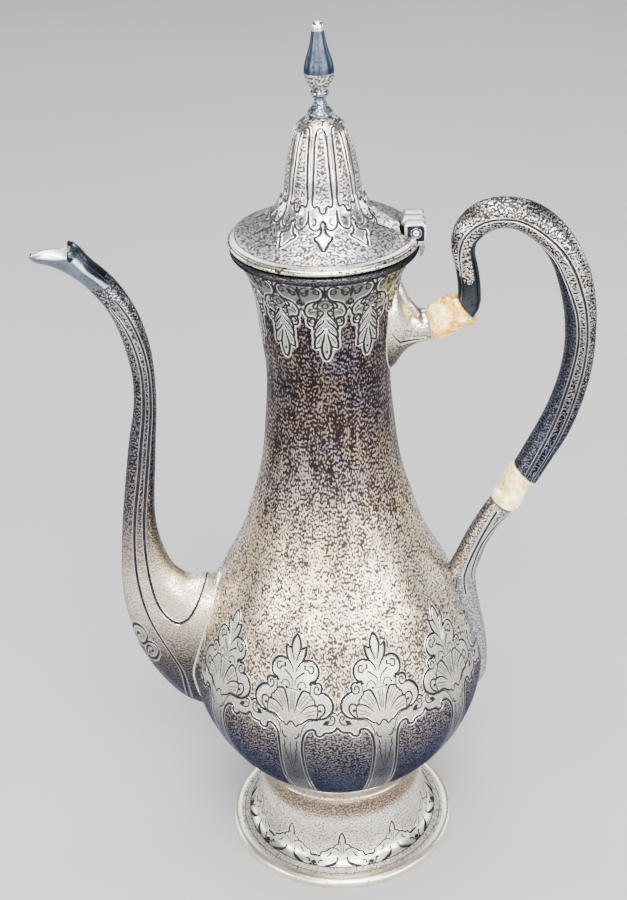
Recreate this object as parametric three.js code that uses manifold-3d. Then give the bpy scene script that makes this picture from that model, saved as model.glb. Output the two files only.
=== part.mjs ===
// Demitasse pot: raised pear-shaped body on a spread foot, swan-neck spout,
// looped handle held by two insulators, and a hinged bell lid with a bud finial.
// Millimetres, +Z up. The Z axis is the pot's own axis and z = 0 is the table.
// The spout points to -X and the handle to +X.

import * as THREE from 'three';
import { mergeVertices } from 'three/addons/utils/BufferGeometryUtils.js';
import Module from 'manifold-3d';

const wasm = await Module();
wasm.setup();

// ---------------------------------------------------------------- dimensions
const ROUND = 28;            // facets round the large turned pieces
const WALL = 0.8;            // sheet thickness of body, foot and lid
const GAP = 0.3;             // gap kept between pieces that touch
const PIN_X = 23.3;          // lid hinge pin
const PIN_Z = 197.0;
const PIN_R = 0.9;
const BORE_R = 1.15;         // bore of the hinge knuckles
const HINGE_HALF = 5.6;      // half length of the hinge along Y
const KNUCKLE_HALF = 1.7;    // half length of the lid's middle knuckle
const NOTCH_X = 19.15;       // lid, lid rim and bezel are notched beyond this x
const NOTCH_HALF = 5.9;
const POUR_R = 3.6;          // half width of the pouring hole behind the spout
const CROSS_PIN_R = 0.6;     // pins that hold the insulators

// outer profile of the body, (r, z), floor centre to mouth
const BODY = [
  [0, 26.9], [17, 27.2], [21, 27.8], [22.6, 28.4], [24.6, 30.0], [27.3, 32.1], [30.6, 35.1],
  [33.4, 38.1], [36.2, 42.0], [38.6, 46.4], [40.7, 51.6], [42.0, 56.6], [42.5, 61.2], [42.1, 65.4],
  [40.8, 70.2], [38.8, 76.0], [36.6, 82.0], [34.2, 88.4], [31.4, 95.6], [27.9, 102.4], [25.0, 109.4],
  [22.2, 118.0], [19.6, 127.0], [17.7, 137.4], [16.6, 148.4], [16.25, 157.6], [16.9, 165.6],
  [18.0, 175.0], [19.3, 182.8], [20.8, 187.2], [22.4, 190.6], [22.75, 191.6], [22.75, 193.3],
];
// outer profile of the foot, (r, z), inner edge of the rim to the top
const FOOT = [
  [31.3, 3.05], [29.2, 3.9], [27.7, 5.0], [26.7, 6.8], [26.15, 9.6], [25.8, 12.8], [25.1, 16.0],
  [24.2, 18.8], [23.55, 21.6], [23.35, 24.4], [23.35, 28.0],
];
// outer profile of the lid, (r, z), lower edge to the hole for the stud
const LID = [
  [23.1, 195.85], [21.1, 196.95], [19.1, 198.0], [17.2, 199.05], [15.3, 200.25], [13.5, 201.85],
  [12.3, 203.4], [11.3, 205.1], [10.4, 207.2], [9.8, 209.6], [9.35, 212.6], [8.8, 215.8],
  [8.15, 218.9], [7.3, 221.8], [6.4, 224.0], [5.2, 225.5], [3.6, 226.5], [1.35, 226.85],
];

// ------------------------------------------------------------------- helpers
function clean(geometry) {
  const g = geometry.clone();
  for (const name of Object.keys(g.attributes)) if (name !== 'position') g.deleteAttribute(name);
  g.clearGroups();
  const m = mergeVertices(g, 1e-4);
  const p = m.attributes.position, src = m.index.array, idx = [];
  for (let i = 0; i < src.length; i += 3) {
    const [a, b, c] = [src[i], src[i + 1], src[i + 2]];
    if (a !== b && b !== c && c !== a) idx.push(a, b, c);
  }
  const A = new THREE.Vector3(), B = new THREE.Vector3(), C = new THREE.Vector3();
  let volume = 0;
  for (let i = 0; i < idx.length; i += 3) {
    A.fromBufferAttribute(p, idx[i]); B.fromBufferAttribute(p, idx[i + 1]); C.fromBufferAttribute(p, idx[i + 2]);
    volume += A.dot(B.cross(C));
  }
  if (volume < 0) for (let i = 0; i < idx.length; i += 3) [idx[i + 1], idx[i + 2]] = [idx[i + 2], idx[i + 1]];
  m.setIndex(idx);
  return m;
}
function solid(geometry) {
  const m = clean(geometry);
  return new wasm.Manifold(new wasm.Mesh({
    numProp: 3,
    vertProperties: Float32Array.from(m.attributes.position.array),
    triVerts: Uint32Array.from(m.index.array),
  }));
}
function toGeometry(manifold) {
  const mesh = manifold.getMesh();
  const n = mesh.numProp, count = mesh.vertProperties.length / n, pos = new Float32Array(count * 3);
  for (let i = 0; i < count; i++) for (let k = 0; k < 3; k++) pos[3 * i + k] = mesh.vertProperties[n * i + k];
  const g = new THREE.BufferGeometry();
  g.setAttribute('position', new THREE.BufferAttribute(pos, 3));
  g.setIndex(Array.from(mesh.triVerts));
  return g;
}
// a turned solid about Z from an (r, z) profile that closes on itself or ends on the axis
function turned(profile, segments = ROUND) {
  const g = new THREE.LatheGeometry(profile.map(([r, z]) => new THREE.Vector2(r, z)), segments);
  g.rotateX(Math.PI / 2);
  return g;
}
function ring(profile, segments = ROUND) {
  return turned([...profile, profile[0]], segments);
}
// move an open profile sideways by d, along the normal on the side away from the axis
function offset(profile, d) {
  return profile.map(([r, z], i) => {
    const a = profile[Math.max(i - 1, 0)], b = profile[Math.min(i + 1, profile.length - 1)];
    const unit = (u, v) => { const l = Math.hypot(u, v) || 1; return [u / l, v / l]; };
    const t1 = i > 0 ? unit(r - a[0], z - a[1]) : unit(b[0] - r, b[1] - z);
    const t2 = i < profile.length - 1 ? unit(b[0] - r, b[1] - z) : t1;
    const n = unit(t1[1] + t2[1], -(t1[0] + t2[0]));
    const k = d / Math.max(0.5, n[0] * t1[1] - n[1] * t1[0]);
    return [Math.max(0, r + n[0] * k), z + n[1] * k];
  });
}
// sections across the XZ plane: each [ux, uz, lx, lz, b] is a section's two ends in the
// plane and its half width along Y
function loft(sections, sides = 12, power = 1) {
  const pos = [], idx = [], n = sections.length;
  for (const [ux, uz, lx, lz, b] of sections) {
    const cx = (ux + lx) / 2, cz = (uz + lz) / 2, hx = (ux - lx) / 2, hz = (uz - lz) / 2;
    for (let k = 0; k < sides; k++) {
      const t = (2 * Math.PI * k) / sides;
      const c = Math.sign(Math.cos(t)) * Math.abs(Math.cos(t)) ** power;
      const s = Math.sign(Math.sin(t)) * Math.abs(Math.sin(t)) ** power;
      pos.push(cx + hx * c, b * s, cz + hz * c);
    }
  }
  const a0 = pos.length / 3;
  for (const i of [0, n - 1]) {
    const [ux, uz, lx, lz] = sections[i];
    pos.push((ux + lx) / 2, 0, (uz + lz) / 2);
  }
  for (let i = 0; i < n - 1; i++) for (let k = 0; k < sides; k++) {
    const k2 = (k + 1) % sides, p = i * sides;
    idx.push(p + k, p + k2, p + sides + k2, p + k, p + sides + k2, p + sides + k);
  }
  for (let k = 0; k < sides; k++) {
    const k2 = (k + 1) % sides, q = (n - 1) * sides;
    idx.push(a0, k2, k, a0 + 1, q + k, q + k2);
  }
  const g = new THREE.BufferGeometry();
  g.setAttribute('position', new THREE.Float32BufferAttribute(pos, 3));
  g.setIndex(idx);
  return g;
}
function block(x0, x1, y0, y1, z0, z1) {
  const g = new THREE.BoxGeometry(x1 - x0, y1 - y0, z1 - z0);
  g.translate((x0 + x1) / 2, (y0 + y1) / 2, (z0 + z1) / 2);
  return g;
}
function rod(from, to, radius, sides = 12) {
  const a = new THREE.Vector3(...from), b = new THREE.Vector3(...to), d = b.clone().sub(a);
  const g = new THREE.CylinderGeometry(radius, radius, d.length(), sides);
  g.applyQuaternion(new THREE.Quaternion().setFromUnitVectors(new THREE.Vector3(0, 1, 0), d.clone().normalize()));
  const m = a.add(b).multiplyScalar(0.5);
  g.translate(m.x, m.y, m.z);
  return g;
}
// an outline in XZ carried along Y from y0 to y1
function prism(outline, y0, y1) {
  const shape = new THREE.Shape(outline.map(([x, z]) => new THREE.Vector2(x, z)));
  const g = new THREE.ExtrudeGeometry(shape, { depth: y1 - y0, bevelEnabled: false });
  g.rotateX(Math.PI / 2);        // the depth runs to -Y
  g.translate(0, y1, 0);
  return g;
}

// --------------------------------------------------------------------- looks
const finish = {
  etched: { color: 0x9c9184, roughness: 0.38, metalness: 1.0 },
  plain: { color: 0xb9b3a8, roughness: 0.22, metalness: 1.0 },
  dark: { color: 0x7d7f82, roughness: 0.26, metalness: 1.0 },
  amber: { color: 0xd9a35c, roughness: 0.4, metalness: 0.0 },
  ivory: { color: 0xe6dab9, roughness: 0.4, metalness: 0.0 },
  steel: { color: 0x8f8f8c, roughness: 0.3, metalness: 1.0 },
};
const pot = new THREE.Group();
const lidGroup = new THREE.Group();
pot.add(lidGroup);
function add(name, geometry, look, group = pot) {
  const g = clean(geometry);
  g.computeVertexNormals();
  const mesh = new THREE.Mesh(g, new THREE.MeshStandardMaterial(finish[look]));
  mesh.name = name;
  group.add(mesh);
  return mesh;
}

// ---------------------------------------------------------------------- body
const thin = (profile) => profile.filter((_, i) => i % 3 === 0 || i === profile.length - 1);
const bodyInner = offset(BODY, -WALL).map(([r, z], i) => (i === 0 ? [0, z] : [r, Math.min(z, 193.3)]));
bodyInner[bodyInner.length - 1] = [22.75 - WALL, 193.3];
let body = solid(turned([...BODY, ...thin(bodyInner).reverse()]));
// pouring hole, rounded at both ends
for (const z of [66, 82]) body = body.subtract(solid(rod([-48, 0, z], [-30, 0, z], POUR_R, 12)));
body = body.subtract(solid(block(-48, -30, -POUR_R, POUR_R, 66, 82)));
add('body', toGeometry(body), 'etched');
add('mouth_rim', ring([[23.05, 191.5], [23.9, 191.45], [24.4, 191.9], [24.45, 192.7], [24.1, 193.3], [23.05, 193.35]]), 'plain');

// ---------------------------------------------------------------------- foot
const footInner = offset(FOOT, -WALL);
footInner[0] = [31.3, 2.2];
footInner[footInner.length - 1] = [23.35 - WALL, 28.0];
add('foot', ring([...FOOT, ...footInner.reverse()]), 'plain');
add('foot_rim', ring([[31.6, 0], [33.5, 0], [34.1, 0.55], [34.25, 1.35], [33.95, 2.2], [33.2, 2.8], [32.3, 3.0], [31.6, 2.9]]), 'plain');
add('foot_collar', ring([[23.7, 25.7], [24.45, 25.7], [24.7, 26.2], [24.45, 26.7], [24.35, 28.4], [24.2, 29.0], [23.85, 28.9], [23.7, 28.2]]), 'plain');

// --------------------------------------------------------------------- spout
const bodyClear = solid(turned([...offset(BODY, GAP).map(([r, z], i) => (i === 0 ? [0, z] : [r, z])), [0, 193.3]]));
// outer sections from the body to the lip: upper x, z, lower x, z, half width
const SPOUT = [
  [-33.0, 92.6, -37.0, 43.6, 8.6], [-37.6, 91.3, -45.6, 47.6, 8.2], [-40.6, 91.3, -51.0, 53.4, 7.7],
  [-43.2, 92.3, -55.9, 61.4, 7.2], [-45.6, 94.4, -59.2, 69.6, 6.6], [-47.2, 97.2, -61.0, 79.2, 6.1],
  [-48.6, 101.2, -61.7, 89.6, 5.6], [-49.8, 106.6, -61.0, 99.4, 5.1], [-50.2, 113.0, -59.7, 110.4, 4.7],
  [-49.8, 119.4, -58.4, 119.0, 4.4], [-48.9, 128.0, -56.9, 128.4, 4.2], [-48.0, 137.0, -55.3, 137.4, 4.0],
  [-47.0, 147.0, -53.3, 147.0, 3.9], [-46.7, 157.0, -52.8, 156.0, 3.8], [-47.3, 165.4, -53.8, 163.8, 3.7],
  [-49.0, 172.8, -55.3, 170.2, 3.7], [-51.0, 177.8, -57.1, 175.0, 3.7], [-53.6, 182.4, -59.4, 178.9, 3.75],
  [-57.0, 186.7, -62.2, 182.5, 3.9], [-60.6, 190.1, -65.2, 185.3, 4.1], [-64.2, 194.6, -68.5, 187.6, 4.2],
  [-69.5, 196.2, -72.0, 189.1, 3.75], [-73.4, 195.2, -75.0, 189.8, 2.6], [-76.2, 193.2, -76.4, 190.9, 0.9],
];
const T = 0.75;
function inward(sections, t) {
  return sections.map(([ux, uz, lx, lz, b]) => {
    const l = Math.hypot(ux - lx, uz - lz), k = (l - 2 * t) / l / 2;
    const cx = (ux + lx) / 2, cz = (uz + lz) / 2;
    return [cx + (ux - lx) * k, cz + (uz - lz) * k, cx - (ux - lx) * k, cz - (uz - lz) * k, b - t];
  });
}
const bore = inward(SPOUT.slice(0, -1), T);
bore[0] = [bore[0][0] + 6, bore[0][1], bore[0][2] + 6, bore[0][3], bore[0][4]];
bore.push([-75.4, 193.6, -75.7, 191.6, 0.35]);
let spout = solid(loft(SPOUT, 14)).subtract(solid(loft(bore, 14)));
spout = spout.subtract(solid(block(-80, -65.9, -10, 10, 191.9, 200)));
spout = spout.subtract(bodyClear);
add('spout', toGeometry(spout), 'etched');

// ------------------------------------------------- handle, sockets, insulators
// faces between pieces: centre x, z and the direction of the handle there, in degrees
const along = (deg) => [Math.cos(deg * Math.PI / 180), Math.sin(deg * Math.PI / 180)];
const FACES = {
  up_in: { c: [26.9, 169.5], a: 13, h: 4.1 },      // upper socket to upper insulator
  up_out: { c: [36.4, 174.2], a: 35, h: 4.2 },     // upper insulator to handle
  low_in: { c: [53.7, 123.2], a: 226, h: 4.3 },    // handle to lower insulator
  low_out: { c: [47.5, 113.2], a: 234, h: 4.1 },   // lower insulator to lower socket
};
function faceSection({ c, a }, h, b, shift = 0) {
  const [dx, dz] = along(a), nx = -dz, nz = dx;
  const x = c[0] + dx * shift, z = c[1] + dz * shift;
  return [x + nx * h, z + nz * h, x - nx * h, z - nz * h, b];
}
function tenon(face, shift, radius) {
  const [dx, dz] = along(face.a);
  return rod([face.c[0], 0, face.c[1]], [face.c[0] + dx * shift, 0, face.c[1] + dz * shift], radius, 12);
}
function crossPin(face, shift, radius, half) {
  const [dx, dz] = along(face.a), x = face.c[0] + dx * shift, z = face.c[1] + dz * shift;
  return rod([x, -half, z], [x, half, z], radius, 10);
}
const TEN_R = 2.3, CAV_R = 2.6, PIN_AT = 2.2;
const pinHole = CROSS_PIN_R + GAP;

// upper socket: a horn that spreads over the neck
let upperSocket = solid(loft([
  [12.0, 186.0, 11.0, 156.0, 9.0], [17.5, 185.0, 15.4, 156.6, 8.6], [20.2, 180.6, 17.9, 158.4, 7.4],
  [21.6, 177.2, 19.9, 161.6, 5.8], [23.4, 174.8, 22.6, 163.8, 4.7],
  faceSection(FACES.up_in, 4.15, 4.2, -1.2), faceSection(FACES.up_in, 4.1, 4.1, -GAP / 2),
], 14)).subtract(bodyClear);
upperSocket = upperSocket.subtract(solid(tenon(FACES.up_in, -4.6, CAV_R))).subtract(solid(crossPin(FACES.up_in, -PIN_AT, pinHole, 8)));
add('upper_socket', toGeometry(upperSocket), 'etched');

function insulator(sections, inFace, outFace) {
  let s = solid(loft(sections, 14));
  s = s.add(solid(tenon({ c: [inFace.c[0] + along(inFace.a)[0] * 1, inFace.c[1] + along(inFace.a)[1] * 1], a: inFace.a }, -5.2, TEN_R)));
  s = s.add(solid(tenon({ c: [outFace.c[0] - along(outFace.a)[0] * 1, outFace.c[1] - along(outFace.a)[1] * 1], a: outFace.a }, 5.2, TEN_R)));
  s = s.subtract(solid(crossPin(inFace, -PIN_AT, pinHole, 8))).subtract(solid(crossPin(outFace, PIN_AT, pinHole, 8)));
  return s;
}
const upperInsulator = insulator([
  faceSection(FACES.up_in, 4.1, 4.1, GAP / 2), faceSection({ c: FACES.up_in.c, a: 17 }, 5.0, 4.8, 1.9),
  [32.0, 177.0, 36.4, 168.3, 4.7], faceSection(FACES.up_out, 4.6, 4.6, -1.4), faceSection(FACES.up_out, 4.2, 4.2, -GAP / 2),
], FACES.up_in, FACES.up_out);
add('upper_insulator', toGeometry(upperInsulator), 'amber');

// handle: from the upper insulator up, over and down to the lower one
const HANDLE = [
  faceSection(FACES.up_out, 3.7, 3.6, GAP / 2), [34.4, 179.0, 40.3, 174.4, 3.5], [34.2, 181.6, 40.3, 180.2, 3.3],
  [33.6, 185.6, 39.5, 185.6, 3.2], [32.6, 189.8, 38.7, 189.4, 3.2], [32.5, 193.6, 39.0, 191.8, 3.4],
  [33.7, 197.4, 40.2, 193.4, 3.6], [36.6, 201.0, 41.8, 194.7, 3.8], [41.0, 203.4, 44.0, 195.7, 4.0],
  [46.4, 204.0, 46.6, 196.0, 4.1], [51.6, 203.2, 49.4, 195.3, 4.1], [56.4, 200.9, 52.6, 193.3, 4.1],
  [60.6, 197.3, 55.8, 190.1, 4.1], [64.2, 192.7, 58.3, 186.3, 4.1], [67.2, 187.3, 60.1, 181.5, 4.0],
  [69.4, 180.7, 61.6, 175.7, 4.0], [70.7, 172.9, 62.6, 169.5, 4.0], [71.0, 164.6, 62.9, 162.4, 4.0],
  [70.6, 156.4, 62.2, 155.6, 4.0], [69.3, 148.8, 60.8, 149.6, 4.0], [67.3, 141.4, 58.9, 143.8, 4.1],
  [64.8, 134.8, 56.4, 138.0, 4.1], [61.6, 128.9, 53.3, 131.6, 4.15], faceSection(FACES.low_in, 4.3, 4.2, -GAP / 2),
];
let handle = solid(loft(HANDLE, 12, 0.9));
handle = handle.subtract(solid(tenon(FACES.up_out, 4.6, CAV_R))).subtract(solid(crossPin(FACES.up_out, PIN_AT, pinHole, 8)));
handle = handle.subtract(solid(tenon(FACES.low_in, -4.6, CAV_R))).subtract(solid(crossPin(FACES.low_in, -PIN_AT, pinHole, 8)));
add('handle', toGeometry(handle), 'etched');

const lowerInsulator = insulator([
  faceSection(FACES.low_in, 4.35, 4.3, GAP / 2), faceSection(FACES.low_in, 4.25, 4.2, 3.0),
  faceSection({ c: FACES.low_out.c, a: 231 }, 4.3, 4.3, -3.6), faceSection(FACES.low_out, 4.45, 4.4, -1.6), faceSection(FACES.low_out, 4.0, 4.0, -GAP / 2),
], FACES.low_in, FACES.low_out);
add('lower_insulator', toGeometry(lowerInsulator), 'ivory');

// lower socket: an arm that meets the belly and runs down it as a tapering tail
let lowerSocket = solid(loft([
  faceSection(FACES.low_out, 3.7, 3.7, GAP / 2), [47.4, 107.0, 41.8, 111.2, 3.5], [44.2, 101.4, 38.0, 104.2, 3.4],
  [42.0, 95.2, 35.0, 97.2, 3.4], [40.6, 89.6, 32.5, 91.6, 3.5], [41.0, 84.6, 32.0, 86.0, 3.7], [41.9, 79.4, 33.0, 79.6, 3.6],
  [43.1, 73.0, 35.0, 72.6, 3.2], [44.2, 66.0, 37.0, 65.6, 2.8], [44.5, 59.4, 38.0, 59.4, 2.4], [44.0, 53.6, 38.0, 53.8, 1.8],
  [42.6, 50.6, 38.0, 51.4, 1.0],
], 12)).subtract(bodyClear);
lowerSocket = lowerSocket.subtract(solid(tenon(FACES.low_out, 4.6, CAV_R))).subtract(solid(crossPin(FACES.low_out, PIN_AT, pinHole, 8)));
add('lower_socket', toGeometry(lowerSocket), 'etched');

add('upper_socket_pin', crossPin(FACES.up_in, -PIN_AT, CROSS_PIN_R, 3.9), 'steel');
add('upper_handle_pin', crossPin(FACES.up_out, PIN_AT, CROSS_PIN_R, 3.6), 'steel');
add('lower_handle_pin', crossPin(FACES.low_in, -PIN_AT, CROSS_PIN_R, 4.1), 'steel');
add('lower_socket_pin', crossPin(FACES.low_out, PIN_AT, CROSS_PIN_R, 3.6), 'steel');

// ----------------------------------------------------------------- lid hinge
// sections of the knuckles across the pin; the block's corners stay clear of the
// lid, and the middle one has its lower corner taken off so that it can swing
const P = (x, z) => [PIN_X + x, PIN_Z + z];
const outerKnuckle = [P(-2.85, -2.6), P(2.45, -2.6), P(2.65, -1.6), P(2.7, 0.6), P(2.5, 2.0), P(1.9, 2.6), P(-2.4, 2.6), P(-2.85, 2.2)];
const middleKnuckle = [P(-2.4, -1.9), P(0.6, -2.6), P(1.9, -2.2), P(2.6, -1.2), P(2.7, 0.6), P(2.5, 2.0), P(1.9, 2.6), P(-2.4, 2.6), P(-3.7, 2.45), P(-3.7, 0.9), P(-2.6, 0.5)];
const hingeBore = () => solid(rod([PIN_X, -9, PIN_Z], [PIN_X, 9, PIN_Z], BORE_R, 16));
add('body_knuckle_front', toGeometry(solid(prism(outerKnuckle, -HINGE_HALF, -KNUCKLE_HALF - GAP)).subtract(hingeBore())), 'plain');
add('body_knuckle_rear', toGeometry(solid(prism(outerKnuckle, KNUCKLE_HALF + GAP, HINGE_HALF)).subtract(hingeBore())), 'plain');
add('lid_knuckle', toGeometry(solid(prism(middleKnuckle, -KNUCKLE_HALF, KNUCKLE_HALF)).subtract(hingeBore())), 'plain', lidGroup);
add('hinge_pin', rod([PIN_X, -HINGE_HALF, PIN_Z], [PIN_X, HINGE_HALF, PIN_Z], PIN_R, 16), 'steel');
// bearer: a strap outside the mouth with a lug under each outer knuckle
let bearer = solid(prism([[24.8, 190.7], [25.4, 190.9], [25.95, 193.2], [25.95, 193.6], [24.8, 193.6]], -HINGE_HALF, HINGE_HALF));
for (const [a, b] of [[-HINGE_HALF, -KNUCKLE_HALF - GAP], [KNUCKLE_HALF + GAP, HINGE_HALF]]) {
  bearer = bearer.add(solid(prism([[20.5, 193.65], [24.9, 193.65], [24.9, 193.0], [25.95, 193.0], [25.95, 194.1], [20.5, 194.1]], a, b)));
}
bearer = bearer.subtract(solid(turned([[0, 188], [24.75, 188], [24.75, 193.6], [0, 193.6]])));
add('hinge_bearer', toGeometry(bearer), 'plain');

// ----------------------------------------------------------------------- lid
const notch = solid(block(NOTCH_X, 30, -NOTCH_HALF, NOTCH_HALF, 193, 203));
const lidInner = offset(LID, -WALL);
lidInner[0] = [21.35, 195.85];
lidInner[lidInner.length - 1] = [1.35, 226.05];
const lidShell = solid(ring([...LID, ...[lidInner[0], ...thin(lidInner.slice(1))].reverse()])).subtract(notch);
add('lid', toGeometry(lidShell), 'etched', lidGroup);
add('lid_rim', toGeometry(solid(ring([[22.2, 193.95], [24.2, 193.9], [24.75, 194.3], [24.85, 194.8], [24.5, 195.35], [23.8, 195.55], [22.2, 195.55]])).subtract(notch)), 'plain', lidGroup);
add('lid_bezel', toGeometry(solid(ring([[19.3, 190.4], [20.0, 190.4], [20.0, 195.95], [19.3, 196.3]])).subtract(solid(block(18.5, 30, -NOTCH_HALF, NOTCH_HALF, 194.4, 203)))), 'plain', lidGroup);
// hinge leaf: a saddle from the bell down to the knuckle
const lidClear = solid(turned([[0, 190], ...offset(LID, GAP), [0, 227.2]]));
let leaf = solid(loft([
  [12.2, 203.6, 12.0, 198.0, 2.2], [14.0, 202.4, 14.0, 197.0, 3.6], [16.4, 201.1, 16.4, 196.0, 4.8],
  [NOTCH_X - 0.05, 199.5, NOTCH_X - 0.05, 195.6, 5.4],
], 14, 0.7)).subtract(lidClear);
add('hinge_leaf', toGeometry(leaf), 'plain', lidGroup);

// -------------------------------------------------------------------- finial
add('finial', turned([
  [0, 221.0], [1.0, 221.0], [1.0, 227.15], [3.1, 227.15], [3.2, 227.6], [2.8, 228.3], [1.9, 229.3], [1.45, 230.4],
  [1.5, 231.4], [2.15, 231.9], [2.2, 232.9], [1.8, 233.3], [2.5, 234.1], [3.35, 235.5], [3.75, 237.3],
  [3.65, 239.0], [3.1, 240.9], [2.45, 243.0], [1.9, 245.4], [1.55, 247.8], [1.4, 249.1], [0.9, 249.8], [0, 250.0],
], 16), 'dark', lidGroup);
const nut = solid(rod([0, 0, 222.6], [0, 0, 224.4], 2.6, 6)).subtract(solid(rod([0, 0, 222], [0, 0, 225], 1.3, 12)));
add('finial_nut', toGeometry(nut), 'steel', lidGroup);
const washer = solid(rod([0, 0, 224.7], [0, 0, 225.1], 2.9, 16)).subtract(solid(rod([0, 0, 224], [0, 0, 226], 1.3, 12)));
add('finial_washer', toGeometry(washer), 'steel', lidGroup);

export default pot;
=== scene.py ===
import math

import bmesh
import bpy
import numpy as np
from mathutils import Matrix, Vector
from mathutils.geometry import delaunay_2d_cdt


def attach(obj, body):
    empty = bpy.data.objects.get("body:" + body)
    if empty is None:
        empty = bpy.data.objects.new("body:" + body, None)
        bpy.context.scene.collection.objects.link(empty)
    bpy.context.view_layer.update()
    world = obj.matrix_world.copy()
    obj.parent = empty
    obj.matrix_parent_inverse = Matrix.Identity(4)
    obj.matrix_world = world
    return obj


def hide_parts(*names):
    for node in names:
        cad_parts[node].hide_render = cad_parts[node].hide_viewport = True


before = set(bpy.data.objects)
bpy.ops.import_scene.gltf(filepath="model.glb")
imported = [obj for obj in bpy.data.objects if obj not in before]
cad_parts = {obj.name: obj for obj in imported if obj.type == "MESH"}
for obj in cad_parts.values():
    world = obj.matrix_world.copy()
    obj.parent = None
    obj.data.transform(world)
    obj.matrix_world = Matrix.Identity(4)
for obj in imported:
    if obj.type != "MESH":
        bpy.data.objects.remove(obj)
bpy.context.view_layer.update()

# The pot is built in millimetres and written to the meshes in metres.
# +Z is up, the spout points to -X, the handle to +X, and azimuth 0 is the -Y side.
MM = 0.001
SECTORS = 10                 # the ornament repeats ten times round the pot
HALF = 180.0 / SECTORS       # half a repeat, in degrees
STEP = 2.0                   # spacing of ring vertices, in degrees


# ------------------------------------------------------------------ curves
def smooth(points, per=10):
    """Centripetal Catmull-Rom curve through the rows of points."""
    p = np.asarray(points, float)
    if len(p) < 3:
        t = np.linspace(0, 1, per + 1)[:, None]
        return p[0] * (1 - t) + p[-1] * t
    q = np.vstack([2 * p[0] - p[1], p, 2 * p[-1] - p[-2]])
    out = []
    for i in range(1, len(q) - 2):
        a, b, c, d = q[i - 1], q[i], q[i + 1], q[i + 2]
        t0 = 0.0
        t1 = t0 + max(np.linalg.norm(b - a), 1e-6) ** 0.5
        t2 = t1 + max(np.linalg.norm(c - b), 1e-6) ** 0.5
        t3 = t2 + max(np.linalg.norm(d - c), 1e-6) ** 0.5
        t = np.linspace(t1, t2, per, endpoint=False)[:, None]
        a1 = (t1 - t) / (t1 - t0) * a + (t - t0) / (t1 - t0) * b
        a2 = (t2 - t) / (t2 - t1) * b + (t - t1) / (t2 - t1) * c
        a3 = (t3 - t) / (t3 - t2) * c + (t - t2) / (t3 - t2) * d
        b1 = (t2 - t) / (t2 - t0) * a1 + (t - t0) / (t2 - t0) * a2
        b2 = (t3 - t) / (t3 - t1) * a2 + (t - t1) / (t3 - t1) * a3
        out.append((t2 - t) / (t2 - t1) * b1 + (t - t1) / (t2 - t1) * b2)
    out.append(p[-1][None, :])
    return np.vstack(out)


def lengths(p):
    return np.concatenate([[0.0], np.cumsum(np.linalg.norm(np.diff(p, axis=0), axis=1))])


# ---------------------------------------------------------------- surfaces
class Turned:
    """A surface of revolution. u is azimuth in degrees, s is length along the profile in mm."""

    def __init__(self, profile, per=12, smooth_it=True):
        p = smooth(profile, per) if smooth_it else np.asarray(profile, float)
        self.r, self.z = p[:, 0], p[:, 1]
        self.s = lengths(p)
        t = np.gradient(p, self.s, axis=0)
        t /= np.linalg.norm(t, axis=1)[:, None] + 1e-12
        self.nr, self.nz = t[:, 1], -t[:, 0]
        self.end = self.s[-1]

    def at_z(self, z):
        order = np.argsort(self.z)
        return np.interp(z, self.z[order], self.s[order])

    def radius(self, s):
        return np.interp(s, self.s, self.r)

    def P(self, u, s):
        a = np.radians(u)
        r, z = np.interp(s, self.s, self.r), np.interp(s, self.s, self.z)
        return np.stack([r * np.sin(a), -r * np.cos(a), z], -1)

    def N(self, u, s):
        a = np.radians(u)
        r, z = np.interp(s, self.s, self.nr), np.interp(s, self.s, self.nz)
        n = np.stack([r * np.sin(a), -r * np.cos(a), z], -1)
        return n / (np.linalg.norm(n, axis=-1, keepdims=True) + 1e-12)

    def scale(self, u, s):
        return np.maximum(np.interp(s, self.s, self.r) * math.pi / 180, 1e-3), np.ones_like(np.asarray(s, float))


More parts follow.
